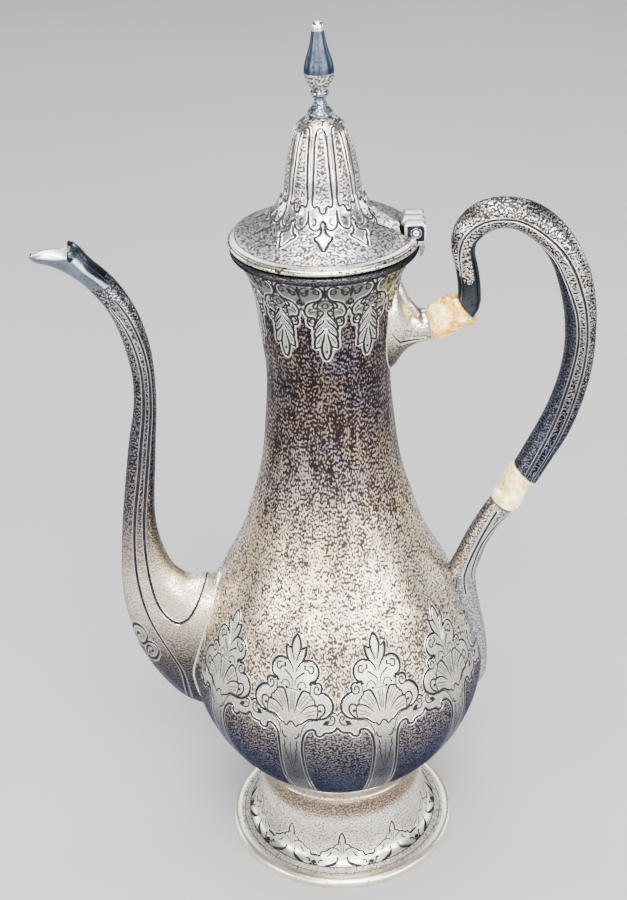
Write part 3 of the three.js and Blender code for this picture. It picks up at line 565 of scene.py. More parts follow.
# ------------------------------------------------------ ornament on the lid
L = {
    "side": ([(10.9, 35.6), (11.6, 34), (12.0, 32), (12.1, 29.2), (12.7, 26), (13.3, 23), (14.1, 20.5), (14.3, 19.2), (13.4, 18.2), (11, 17.75), (8.2, 18.1), (5.6, 18.0), (4.3, 17.3), (3.4, 16.6), (1.8, 16.3), (0.05, 16.2)], [.5]),
    "arch": ([(0.05, 37.3), (4, 37.2), (8, 36.7), (10.4, 36.1), (11.3, 35.2)], [.4]),
    "eye": ([(11.4, 15.0), (9.4, 15.0), (7.9, 14.3), (8.6, 13.6), (11.2, 13.4)], [.4]),
    "scroll": ([(18, 17.0), (17.7, 15.4), (17.0, 13.9), (14.6, 12.7), (11, 12.1), (7.5, 12.0), (4.6, 12.4), (2.7, 13.1), (2.0, 14.2)], [.45]),
}
L_SHARP = [([(2.7, 13.1), (2.1, 12.1), (2.9, 11.3), (5.4, 10.6), (9.2, 10.1), (7.6, 9.2), (4.9, 8.5), (2.6, 7.1), (0.05, 5.75)], .5)]
L_LINES = [([(0, 16.2), (0, 13.6)], .3), ([(18, 34.5), (18, 27)], .3)]
L_EDGE = [(0, 5.75), (2.6, 7.1), (4.9, 8.5), (7.6, 9.2), (9.2, 10.1), (5.4, 10.6), (2.9, 11.3), (2.2, 12.0), (4.6, 12.2), (7.5, 12.0),
          (11, 12.1), (14.6, 12.7), (17, 13.9), (17.7, 15.4), (18, 17.0)]

# ----------------------------------------------------- ornament on the foot
F = {
    "edge": ([(0.05, 17.5), (1.0, 16.9), (1.9, 15.6), (2.3, 14.2), (2.6, 13.5), (4.6, 13.2), (5.8, 12.3), (8.3, 11.8), (10, 11.1), (11.2, 10.5), (13.6, 10.2), (14.3, 9.6), (14.6, 9.0), (16.2, 8.9), (18, 9.0)], [.5]),
    "arc": ([(6.5, 12), (3.2, 11.7), (2, 10.8)], [.3, .5, .3]),
    "crescent": ([(3.2, 8.9), (3.3, 8.0), (4.4, 7.2), (6.3, 6.7), (8.6, 6.3), (11.5, 6.0)], [.35, 1.05, .4]),
    "small": ([(12.4, 7.4), (13.8, 7.6), (15.2, 7.2)], [.3, .6, .3]),
    "vein": ([(1.4, 14.6), (0.9, 12.6), (0.6, 10.2)], [.22]),
    "leaf": ([(7.2, 10.6), (8.6, 9.4), (10.6, 8.8)], [.3, .5, .3]),
}
F_FILL = [(15.0, 5.85), (16.6, 6.6), (17.4, 7.4), (18, 7.6), (18, 5.85)]
F_DOTS = [(3.0, 8.8, .35), (14.9, 6.9, .35)]


def ellipse(u, s, ru, rs, n=18):
    a = np.linspace(0, 2 * np.pi, n + 1)
    return np.column_stack([u + ru * np.cos(a), s + rs * np.sin(a)])


def dot(surf, u, s, r, mirror=True):
    """A small round punch mark, cut as a short closed stroke."""
    k = float(surf.scale(np.array([u]), np.array([s]))[0][0])
    pts = ellipse(u, s, r * 0.5 / k, r * 0.5, 10)
    return stroke(surf, pts, r * 0.9, mirror=mirror, sharp=True)


def ring_line(s, half=HALF):
    return [(-half, s), (0, s), (half, s)]


# --------------------------------------------------------------- materials
ONE = (1.0, 1.0, 1.0)


def add(nt, kind, ins=(), **props):
    n = nt.nodes.new(kind)
    for key, val in props.items():
        setattr(n, key, val)
    for key, val in (ins.items() if isinstance(ins, dict) else enumerate(ins)):
        if val is None:
            continue
        if isinstance(val, bpy.types.NodeSocket):
            nt.links.new(val, n.inputs[key])
        else:
            n.inputs[key].default_value = val
    return n


def math_(nt, op, a, b=None, clamp=False):
    return add(nt, "ShaderNodeMath", (a, b), operation=op, use_clamp=clamp).outputs[0]


def ramp(nt, fac, stops, smooth_=False):
    n = add(nt, "ShaderNodeValToRGB", (fac,))
    e = n.color_ramp.elements
    n.color_ramp.interpolation = "EASE" if smooth_ else "LINEAR"
    while len(e) < len(stops):
        e.new(0.5)
    for el, (pos, col) in zip(e, stops):
        el.position = pos
        el.color = (col, col, col, 1) if np.isscalar(col) else (*col, 1)
    return n.outputs[0]


def noise(nt, vec, scale, detail=2.0, rough=0.5, distort=0.0):
    return add(nt, "ShaderNodeTexNoise", {"Vector": vec, "Scale": scale, "Detail": detail, "Roughness": rough, "Distortion": distort}).outputs[0]


def mix(nt, fac, a, b):
    n = add(nt, "ShaderNodeMix", data_type="RGBA")
    for i, v in ((0, fac), (6, a), (7, b)):
        if isinstance(v, bpy.types.NodeSocket):
            nt.links.new(v, n.inputs[i])
        else:
            n.inputs[i].default_value = v if i == 0 else (*v, 1)
    return n.outputs[2]


def span(nt, v, lo, hi, a=0.0, b=1.0):
    return add(nt, "ShaderNodeMapRange", (v, lo, hi, a, b), clamp=True).outputs[0]


def start(name):
    m = bpy.data.materials.new(name)
    m.use_nodes = True
    nt = m.node_tree
    nt.nodes.clear()
    co = add(nt, "ShaderNodeTexCoord").outputs["Object"]
    return m, nt, co


def finish_(nt, color, rough, metallic=1.0, bump=None, bump_size=0.00004, strength=0.6, **extra):
    ins = {"Base Color": color, "Roughness": rough, "Metallic": metallic}
    ins.update(extra)
    b = add(nt, "ShaderNodeBsdfPrincipled", ins)
    if bump is not None:
        n = add(nt, "ShaderNodeBump", {"Height": bump, "Strength": strength, "Distance": bump_size})
        nt.links.new(n.outputs[0], b.inputs["Normal"])
    out = add(nt, "ShaderNodeOutputMaterial")
    nt.links.new(b.outputs[0], out.inputs[0])


def worms(nt, co, period, stretch):
    """Band-limited worm-like noise, with features period mm apart, drawn out up the pot by stretch."""
    mp = add(nt, "ShaderNodeMapping", {"Vector": co, "Scale": (1.0, 1.0, stretch)}).outputs[0]
    g = add(nt, "ShaderNodeTexGabor", {"Vector": mp, "Scale": 1000.0 / (period * 1.5), "Frequency": 1.5, "Anisotropy": 0.0}, gabor_type="3D")
    return g.outputs[0]


def by_height(nt, co, stops):
    """A number or a colour that changes up the pot: stops are (height in mm, value)."""
    z = add(nt, "ShaderNodeSeparateXYZ", (co,)).outputs[2]
    return ramp(nt, span(nt, z, 0.0, 0.25), [(h / 250.0, c) for h, c in stops])


def tinted(nt, color, co, tone):
    """The colour times the tone at this height; the tone tables paint shade, reflection and highlight, and on the foot
    also brown patina.
    """
    if tone is None:
        return color
    n = add(nt, "ShaderNodeMix", data_type="RGBA", blend_type="MULTIPLY")
    n.inputs[0].default_value = 1.0
    nt.links.new(color, n.inputs[6])
    nt.links.new(by_height(nt, co, tone), n.inputs[7])
    return n.outputs[2]


def etched(name, light, dark, dark2, cover, rough=(0.34, 0.55), period=0.95, stretch=0.72, soft=0.09, streak=0.0, bump=0.00004,
           patch=0.10, wear=0.4, tone=None, fade=None, grit=0.30, graze=ONE, tone2=None, gloss=None):
    """Silver with a worm-like etched ground: bright ridges over dark pits.
    cover is the share of pits up the pot, tone a painted factor of shade, reflection and highlight up the pot, fade how
    far the pits are worn away (on the spout also a painted highlight) and gloss a factor on the roughness."""
    m, nt, co = start(name)
    worm = worms(nt, co, period, stretch)
    fine = noise(nt, co, 3000.0, 1.0, 0.5)
    share = by_height(nt, co, cover)
    blot = noise(nt, co, 95.0, 3.0, 0.55)
    level = math_(nt, "ADD", share, math_(nt, "MULTIPLY", math_(nt, "SUBTRACT", blot, 0.5), patch * 2.0))
    if streak:
        tall = add(nt, "ShaderNodeMapping", {"Vector": co, "Scale": (1.0, 1.0, 0.09)}).outputs[0]
        level = math_(nt, "ADD", level, math_(nt, "MULTIPLY", math_(nt, "SUBTRACT", noise(nt, tall, 620.0, 2.0, 0.55), 0.5), streak))
    value = math_(nt, "ADD", worm, math_(nt, "MULTIPLY", math_(nt, "SUBTRACT", fine, 0.5), grit))
    mask = span(nt, math_(nt, "SUBTRACT", value, level), -soft, soft)
    hue = noise(nt, co, 210.0, 2.0, 0.6)
    low = mix(nt, span(nt, hue, 0.38, 0.62), dark, dark2)
    wide = noise(nt, co, 48.0, 3.0, 0.6)
    high = mix(nt, span(nt, wide, 0.3, 0.7), tuple(v * 0.84 for v in light), tuple(min(1, v * 1.05) for v in light))
    if fade is not None:
        low = mix(nt, by_height(nt, co, fade), low, high) if isinstance(fade, list) else mix(nt, fade, low, high)
    color = tinted(nt, mix(nt, mask, low, high), co, tone)
    if tone2 is not None:
        other = tinted(nt, mix(nt, mask, low, high), co, tone2)
        color = mix(nt, span(nt, noise(nt, co, 75.0, 3.0, 0.6), 0.37, 0.63), color, other)
    r = span(nt, mask, 0.0, 1.0, rough[1], rough[0])
    r = math_(nt, "ADD", r, math_(nt, "MULTIPLY", math_(nt, "SUBTRACT", wide, 0.5), 0.16))
    if gloss is not None:
        r = math_(nt, "MULTIPLY", r, by_height(nt, co, gloss))
    finish_(nt, color, r, 1.0, mask, bump, wear, **{"Specular Tint": (*graze, 1.0)})
    return m


def polished(name, light, shade, rough=0.26, speck=0.35, scale=1900.0, scratches=0.5, spot=(0.10, 0.08, 0.06), soft=0.05, tone=None, graze=ONE):
    """Plain silver with worn patches, fine pits and hair scratches."""
    m, nt, co = start(name)
    wide = noise(nt, co, 60.0, 4.0, 0.6)
    fine = noise(nt, co, scale, 1.5, 0.5, 0.4)
    patchy = noise(nt, co, 260.0, 3.0, 0.6)
    level = math_(nt, "MULTIPLY_ADD", patchy, 0.30)
    level.node.inputs[2].default_value = 0.10 + speck * 0.34
    pit = span(nt, math_(nt, "SUBTRACT", fine, level), -soft, soft)
    base = mix(nt, span(nt, wide, 0.32, 0.68), shade, light)
    color = tinted(nt, mix(nt, pit, tuple(0.5 * a + 0.5 * b for a, b in zip(spot, shade)), base), co, tone)
    hair = add(nt, "ShaderNodeMapping", {"Vector": co, "Rotation": (0.3, 0.5, 0.2), "Scale": (1.0, 0.06, 1.0)}).outputs[0]
    line = noise(nt, hair, 2600.0, 2.0, 0.5)
    r = math_(nt, "ADD", span(nt, pit, 0.0, 1.0, rough + 0.2, rough), math_(nt, "MULTIPLY", math_(nt, "SUBTRACT", line, 0.5), 0.25 * scratches))
    r = math_(nt, "ADD", r, math_(nt, "MULTIPLY", math_(nt, "SUBTRACT", wide, 0.5), 0.18))
    height = math_(nt, "ADD", pit, math_(nt, "MULTIPLY", line, 0.3 * scratches))
    finish_(nt, color, r, 1.0, height, 0.00002, 0.35, **{"Specular Tint": (*graze, 1.0)})
    return m


def cut_line(name, dark, brown):
    m, nt, co = start(name)
    a = noise(nt, co, 700.0, 2.0, 0.6)
    b = noise(nt, co, 2400.0, 2.0, 0.5)
    color = mix(nt, span(nt, a, 0.4, 0.66), dark, brown)
    finish_(nt, color, span(nt, b, 0.3, 0.7, 0.34, 0.62), 0.75, b, 0.00003, 0.5)
    return m


def bone(name, light, mid, stain, gloss, scale=1.0, stains=(0.88, 1.02)):
    """Bone or ivory with a mottled stain and a worn gloss."""
    m, nt, co = start(name)
    big = noise(nt, co, 320.0 * scale, 4.0, 0.6, 0.8)
    small = noise(nt, co, 1500.0 * scale, 3.0, 0.6)
    grain = add(nt, "ShaderNodeMapping", {"Vector": co, "Rotation": (0.0, 0.7, 0.0), "Scale": (0.15, 1.0, 1.0)}).outputs[0]
    streak = noise(nt, grain, 1700.0, 2.0, 0.5)
    c = mix(nt, span(nt, big, 0.41, 0.55), light, mid)
    c = mix(nt, span(nt, math_(nt, "ADD", small, math_(nt, "MULTIPLY", big, 0.6)), *stains), c, stain)
    c = mix(nt, span(nt, streak, 0.55, 0.75, 0.0, 0.45), c, mid)
    h = math_(nt, "ADD", math_(nt, "MULTIPLY", small, 0.6), math_(nt, "MULTIPLY", streak, 0.4))
    b = add(nt, "ShaderNodeBsdfPrincipled", {"Base Color": c, "Roughness": span(nt, small, 0.3, 0.7, gloss, gloss + 0.22), "Metallic": 0.0,
                                             "Subsurface Weight": 0.12, "Subsurface Radius": (0.0012, 0.0007, 0.0003), "Subsurface Scale": 1.0,
                                             "Specular IOR Level": 0.5})
    n = add(nt, "ShaderNodeBump", {"Height": h, "Strength": 0.5, "Distance": 0.00012})
    nt.links.new(n.outputs[0], b.inputs["Normal"])
    out = add(nt, "ShaderNodeOutputMaterial")
    nt.links.new(b.outputs[0], out.inputs[0])
    return m


# Tone tables up the pot (height in mm, factor). The darkening towards the foot and up the neck, bluish low down, is
# painted dark reflection and shade.
SHADE_GROUND = [(28, (0.46, 0.46, 0.50)), (56, (0.76, 0.75, 0.74)), (68, (0.96, 0.95, 0.93)), (80, ONE), (98, ONE), (110, (0.99, 0.935, 0.88)),
            (122, (0.77, 0.71, 0.69)), (136, (0.47, 0.43, 0.445)), (156, (0.31, 0.28, 0.315)), (176, (0.305, 0.28, 0.315)), (182, (0.23, 0.22, 0.25)), (193, (0.24, 0.24, 0.28))]
# Violet patches mixed in at random, with the same painted dark reflection up the pot.
VIOLET_AND_SHADE = [(28, (0.46, 0.49, 0.66)), (56, (0.74, 0.74, 0.80)), (68, (0.93, 0.92, 0.96)), (80, (0.98, 0.95, 0.98)), (98, (0.97, 0.95, 1.0)), (110, (0.90, 0.87, 0.95)),
            (122, (0.66, 0.64, 0.74)), (136, (0.385, 0.37, 0.50)), (156, (0.26, 0.25, 0.40)), (176, (0.255, 0.25, 0.395)), (182, (0.20, 0.205, 0.30)), (193, (0.21, 0.22, 0.31))]
# Plain silver: near black on the pilasters low down and darker up the neck, painted dark reflection.
SHADE_PLAIN = [(0, ONE), (26.4, ONE), (26.8, (0.028, 0.034, 0.062)), (38, (0.036, 0.043, 0.070)), (46, (0.050, 0.057, 0.084)), (57, (0.125, 0.135, 0.17)), (62, (0.36, 0.37, 0.39)), (69, (0.80, 0.79, 0.77)), (78, ONE), (96, ONE),
           (165, (0.60, 0.60, 0.56)), (175, (0.55, 0.56, 0.53)), (180, (0.42, 0.43, 0.42)), (185, (0.27, 0.285, 0.29)), (193.5, (0.20, 0.22, 0.25)), (195, ONE), (250, ONE)]
# Raised edges: darker and bluer towards the foot, painted dark reflection.
SHADE_EDGE = [(0, ONE), (26.4, ONE), (26.8, (0.14, 0.17, 0.24)), (50, (0.18, 0.21, 0.27)), (60, (0.34, 0.35, 0.38)), (70, (0.72, 0.71, 0.70)), (82, (0.90, 0.89, 0.87)), (190, (0.90, 0.89, 0.87)), (195, ONE), (250, ONE)]
M_GROUND = etched("etched_silver", (1.0, 0.85, 0.64), (0.064, 0.046, 0.034), (0.048, 0.040, 0.044),
                  [(0, 0.50), (60, 0.52), (84, 0.51), (98, 0.50), (112, 0.505), (128, 0.55), (150, 0.585), (180, 0.59), (200, 0.50), (250, 0.50)], streak=0.34, tone=SHADE_GROUND,
                  period=0.61, stretch=0.45, soft=0.072, tone2=VIOLET_AND_SHADE)
M_PLAIN = etched("plain_silver", (0.97, 0.915, 0.80), (0.42, 0.38, 0.31), (0.33, 0.31, 0.28), [(0, 0.42), (250, 0.42)], (0.30, 0.42), 0.70, 0.9, 0.16,
                 tone=SHADE_PLAIN, bump=0.00002, wear=0.3, graze=(0.75, 0.78, 0.86))
M_EDGE = polished("worn_edge", (0.98, 0.94, 0.86), (0.80, 0.76, 0.68), 0.24, 0.10, tone=SHADE_EDGE)
M_NECK_EDGE = polished("neck_edge", (0.80, 0.78, 0.71), (0.55, 0.53, 0.48), 0.28, 0.15)
M_LINE = cut_line("cut_line", (0.006, 0.008, 0.013), (0.030, 0.025, 0.026))
# The panels' dark blue, deepest at the bottom, is painted dark reflection.
M_PANEL = etched("etched_panel", (0.42, 0.405, 0.41), (0.034, 0.033, 0.045), (0.046, 0.039, 0.043),
                 [(0, 0.54), (250, 0.53)], period=0.78, stretch=0.9, soft=0.08, grit=0.6, graze=(0.42, 0.46, 0.57),
                 tone=[(26, (0.09, 0.105, 0.15)), (40, (0.17, 0.185, 0.255)), (52, (0.37, 0.37, 0.46)), (60, (0.60, 0.56, 0.60)), (68, (0.84, 0.76, 0.72))])
M_INNER = polished("inner_silver", (0.60, 0.54, 0.46), (0.34, 0.29, 0.24), 0.42, 0.5)
M_BEAK = polished("beak_inside", (0.97, 0.97, 0.92), (0.72, 0.72, 0.68), 0.34, 0.30)
M_RIM = polished("rim_silver", (1.0, 0.935, 0.80), (0.76, 0.67, 0.54), 0.33, 0.22, 1250.0, spot=(0.03, 0.03, 0.03))
M_LID_RIM = polished("lid_rim_silver", (1.0, 0.95, 0.84), (0.66, 0.58, 0.46), 0.24, 0.44, 1300.0, spot=(-0.62, -0.54, -0.41), soft=0.03)
# The mouth bead is painted very dark, as the shade under the lid's bead.
M_DIM = etched("dim_silver", (0.085, 0.085, 0.10), (0.012, 0.012, 0.015), (0.018, 0.016, 0.017), [(0, 0.52), (250, 0.52)], period=0.66, stretch=1.0, grit=0.6, soft=0.1, graze=(0.3, 0.3, 0.34))
# The waist collar is painted darker than the other rims, as the shade under the belly.
M_COLLAR = polished("collar_silver", (0.50, 0.44, 0.36), (0.26, 0.22, 0.18), 0.28, 0.45)
# On the finial's tip this bright silver is a painted highlight.
M_BRIGHT = polished("bright_silver", (0.93, 0.90, 0.85), (0.66, 0.63, 0.58), 0.22, 0.16)
M_HINGE = polished("hinge_silver", (0.97, 0.98, 0.98), (0.62, 0.65, 0.70), 0.32, 0.42, 1100.0, spot=(0.16, 0.18, 0.24))
M_LEAF = etched("leaf_silver", (0.56, 0.55, 0.56), (0.095, 0.085, 0.085), (0.12, 0.10, 0.09), [(0, 0.50), (250, 0.50)], period=0.95, stretch=0.9, soft=0.12, grit=0.5)
# The hinge strap's dark grey is painted shade under the hinge and the lid's bead.
M_STRAP = polished("strap_silver", (0.30, 0.32, 0.36), (0.12, 0.13, 0.15), 0.34, 0.40, spot=(0.03, 0.03, 0.04), graze=(0.5, 0.5, 0.55))
# The finial's dark blue is painted reflection.
M_FINIAL = polished("finial_dark", (0.064, 0.086, 0.120), (0.034, 0.044, 0.062), 0.33, 0.35, 1500.0, spot=(0.02, 0.02, 0.03), graze=(0.5, 0.55, 0.65))
M_STEEL_DARK = polished("blackened_end", (0.070, 0.083, 0.092), (0.017, 0.021, 0.025), 0.18, 0.34, 1500.0, spot=(0.02, 0.02, 0.02), graze=(0.5, 0.55, 0.6))
# Dark blue-grey on the beak is painted reflection.
M_DARK = polished("dark_silver", (0.24, 0.29, 0.36), (0.065, 0.080, 0.105), 0.20, 0.25, 1700.0, spot=(0.03, 0.03, 0.035))
# Bluish and darker at the finial's neck (z 227 to 233): painted reflection.
M_SPECK = etched("speckled_dark", (0.74, 0.75, 0.78), (0.07, 0.075, 0.09), (0.09, 0.08, 0.075), [(0, 0.5), (250, 0.5)], period=0.85, stretch=1.0, tone=[(227, (0.55, 0.62, 0.78)), (232, (0.50, 0.57, 0.72)), (234.5, (0.95, 0.95, 0.96))])
# The inner side of the handle's loop is painted dark blue, as shade.
M_INSIDE = etched("handle_inside", (0.095, 0.11, 0.155), (0.010, 0.012, 0.019), (0.020, 0.018, 0.020), [(0, 0.58), (250, 0.54)], period=0.75, stretch=1.0, grit=0.7)
# Darker and bluer down the handle's lower leg, below z 184: painted shade.
M_HANDLE = etched("etched_handle", (0.93, 0.88, 0.82), (0.016, 0.016, 0.021), (0.036, 0.030, 0.031), [(0, 0.55), (140, 0.56), (170, 0.555), (186, 0.53), (194, 0.53), (198, 0.56), (202, 0.60), (250, 0.60)],
                  period=0.76, stretch=0.95, soft=0.075, rough=(0.26, 0.48), tone=[(118, (0.11, 0.135, 0.20)), (134, (0.15, 0.17, 0.23)), (150, (0.31, 0.315, 0.36)), (168, (0.60, 0.59, 0.61)), (184, ONE), (250, ONE)], grit=0.45,
                  graze=(0.6, 0.63, 0.7))
# Darker and bluer down the handle's lower leg, as on the etched handle: painted shade.
M_HANDLE_EDGE = polished("handle_edge", (0.92, 0.92, 0.92), (0.62, 0.62, 0.63), 0.26, 0.20,
                         tone=[(118, (0.20, 0.23, 0.30)), (134, (0.26, 0.28, 0.34)), (150, (0.39, 0.40, 0.44)), (168, (0.66, 0.66, 0.68)), (186, ONE), (250, ONE)])
# Up the spout the tone paints light and shade: dark low on the belly, a painted highlight band at z 82 to 92, and
# bluish dark further up.
M_SPOUT_EDGE = polished("spout_edge", (0.90, 0.87, 0.82), (0.62, 0.60, 0.57), 0.26, 0.20,
                        tone=[(44, (0.24, 0.27, 0.34)), (60, (0.40, 0.41, 0.46)), (76, (0.84, 0.83, 0.82)), (92, ONE), (102, (0.76, 0.76, 0.77)), (116, (0.42, 0.43, 0.47)),
                              (150, (0.39, 0.40, 0.45)), (176, (0.70, 0.71, 0.74))])
# Darker and bluer towards the bottom of the arm: painted shade.
M_ARM_EDGE = polished("arm_edge", (0.88, 0.88, 0.88), (0.55, 0.55, 0.57), 0.24, 0.20, tone=[(50, (0.50, 0.51, 0.56)), (85, (0.78, 0.78, 0.81)), (118, (0.64, 0.65, 0.69))])
M_ARM = etched("etched_arm", (0.55, 0.56, 0.60), (0.060, 0.058, 0.066), (0.10, 0.078, 0.068), [(0, 0.48), (95, 0.50), (120, 0.54)], (0.24, 0.46),
               period=0.78, stretch=0.9, fade=[(48, 0.25), (80, 0.15), (100, 0.0)], grit=0.45, graze=(0.75, 0.77, 0.82))
# The dark underside of the horn, below z 167, is painted shade.
M_HORN = etched("etched_horn", (1.0, 0.93, 0.82), (0.17, 0.125, 0.085), (0.24, 0.15, 0.08), [(0, 0.48), (168, 0.46), (174, 0.37), (250, 0.43)], (0.21, 0.42), period=0.80, stretch=0.9,
                soft=0.12, grit=0.45, tone=[(160, (0.10, 0.105, 0.125)), (164, (0.17, 0.17, 0.18)), (166.5, (0.40, 0.385, 0.37)), (169, (0.86, 0.84, 0.80)), (171, ONE), (181, ONE), (189, (0.80, 0.72, 0.62))],
                graze=(0.7, 0.7, 0.72))
# Up the spout the tone paints light and shade: dark low on the belly, a painted highlight band at z 82 to 92, where the
# pits are also faded, and bluish dark further up.
M_SPOUT = etched("etched_spout", (0.97, 0.895, 0.79), (0.070, 0.050, 0.037), (0.042, 0.042, 0.054), [(0, 0.48), (80, 0.47), (110, 0.53), (150, 0.56), (250, 0.55)], (0.24, 0.46),
                 period=0.74, stretch=0.85, soft=0.085, fade=[(40, 0.10), (66, 0.16), (82, 0.38), (95, 0.38), (106, 0.12), (122, 0.0), (172, 0.0), (184, 0.04)], grit=0.45,
                 tone=[(44, (0.06, 0.07, 0.10)), (56, (0.075, 0.078, 0.10)), (66, (0.145, 0.138, 0.15)), (74, (0.47, 0.43, 0.395)), (82, (0.98, 0.92, 0.83)), (92, (1.0, 0.945, 0.86)), (100, (0.68, 0.62, 0.57)),
                       (114, (0.28, 0.28, 0.33)), (146, (0.235, 0.245, 0.305)), (160, (0.34, 0.35, 0.41)), (172, (0.52, 0.53, 0.58)), (184, (0.36, 0.40, 0.48))],
                 graze=(0.6, 0.63, 0.7))
# The dark band on the foot's concave neck, z 20 to 25, is brown patina together with a painted dark reflection of the
# belly.
M_FOOT = etched("etched_foot", (1.0, 0.935, 0.84), (0.30, 0.215, 0.15), (0.24, 0.19, 0.16), [(0, 0.46), (14, 0.44), (18, 0.42), (20, 0.54), (22, 0.57), (26, 0.52), (250, 0.4)], (0.38, 0.55),
                period=0.80, stretch=1.0, soft=0.11, grit=0.5, gloss=[(0, ONE), (7, ONE), (13, (0.55, 0.55, 0.55)), (26, (0.42, 0.42, 0.42))], tone=[(0, ONE), (18, ONE), (20, (0.56, 0.49, 0.42)), (23, (0.56, 0.48, 0.41)), (25.2, (0.8, 0.74, 0.66))])
M_FOOT_PLAIN = etched("foot_ornament", (1.0, 0.955, 0.875), (0.56, 0.48, 0.39), (0.50, 0.45, 0.39), [(0, 0.41), (250, 0.41)], (0.30, 0.42), 0.70, 0.9, 0.14, bump=0.00002, wear=0.3)
# Bluish and darker at the brim: painted reflection.
M_LID = etched("etched_lid", (0.94, 0.89, 0.83), (0.080, 0.062, 0.053), (0.066, 0.060, 0.070), [(0, 0.4), (195, 0.50), (199, 0.535), (204, 0.54), (225, 0.53), (250, 0.4)],
               period=0.84, stretch=0.95, soft=0.085, grit=0.45, tone=[(195.5, (0.84, 0.845, 0.90)), (199.5, (0.82, 0.815, 0.865)), (204, ONE), (215, ONE), (225, (0.90, 0.86, 0.80))])
M_LID_LINE = cut_line("lid_line", (0.016, 0.019, 0.028), (0.060, 0.050, 0.048))
M_LID_PLAIN = etched("lid_ornament", (1.0, 0.99, 0.965), (0.66, 0.62, 0.56), (0.56, 0.54, 0.51), [(0, 0.39), (250, 0.39)], (0.25, 0.36), 0.70, 0.9, 0.16,
                     bump=0.00002, wear=0.3)
M_AMBER = bone("amber_insulator", (1.0, 0.90, 0.46), (0.72, 0.36, 0.022), (0.32, 0.125, 0.006), 0.20, stains=(0.84, 0.98))
M_IVORY = bone("ivory_insulator", (1.0, 0.98, 0.70), (0.76, 0.60, 0.22), (0.27, 0.185, 0.07), 0.22)
M_STEEL = polished("pin_metal", (0.62, 0.60, 0.56), (0.36, 0.34, 0.31), 0.30, 0.4)


def done(obj, body, slot, *nodes):
    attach(obj, body)
    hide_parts(*nodes)
    return obj


# ------------------------------------------------------------------- body
def shifted(surf, strokes_in, du):
    """The same strokes moved round by du degrees."""
    out = []
    for st in strokes_in:
        out.append({key: (val + [du, 0] if key in ("c", "l", "r") else val) for key, val in st.items()})
    return out


def table_strokes(surf, table, to_s=None, flanks=(), wide=1.0):
    out = []
    for key, (pts, w) in table.items():
        out += stroke(surf, pts, np.array(w) * wide, to_s=to_s, flank=key in flanks)
    return out


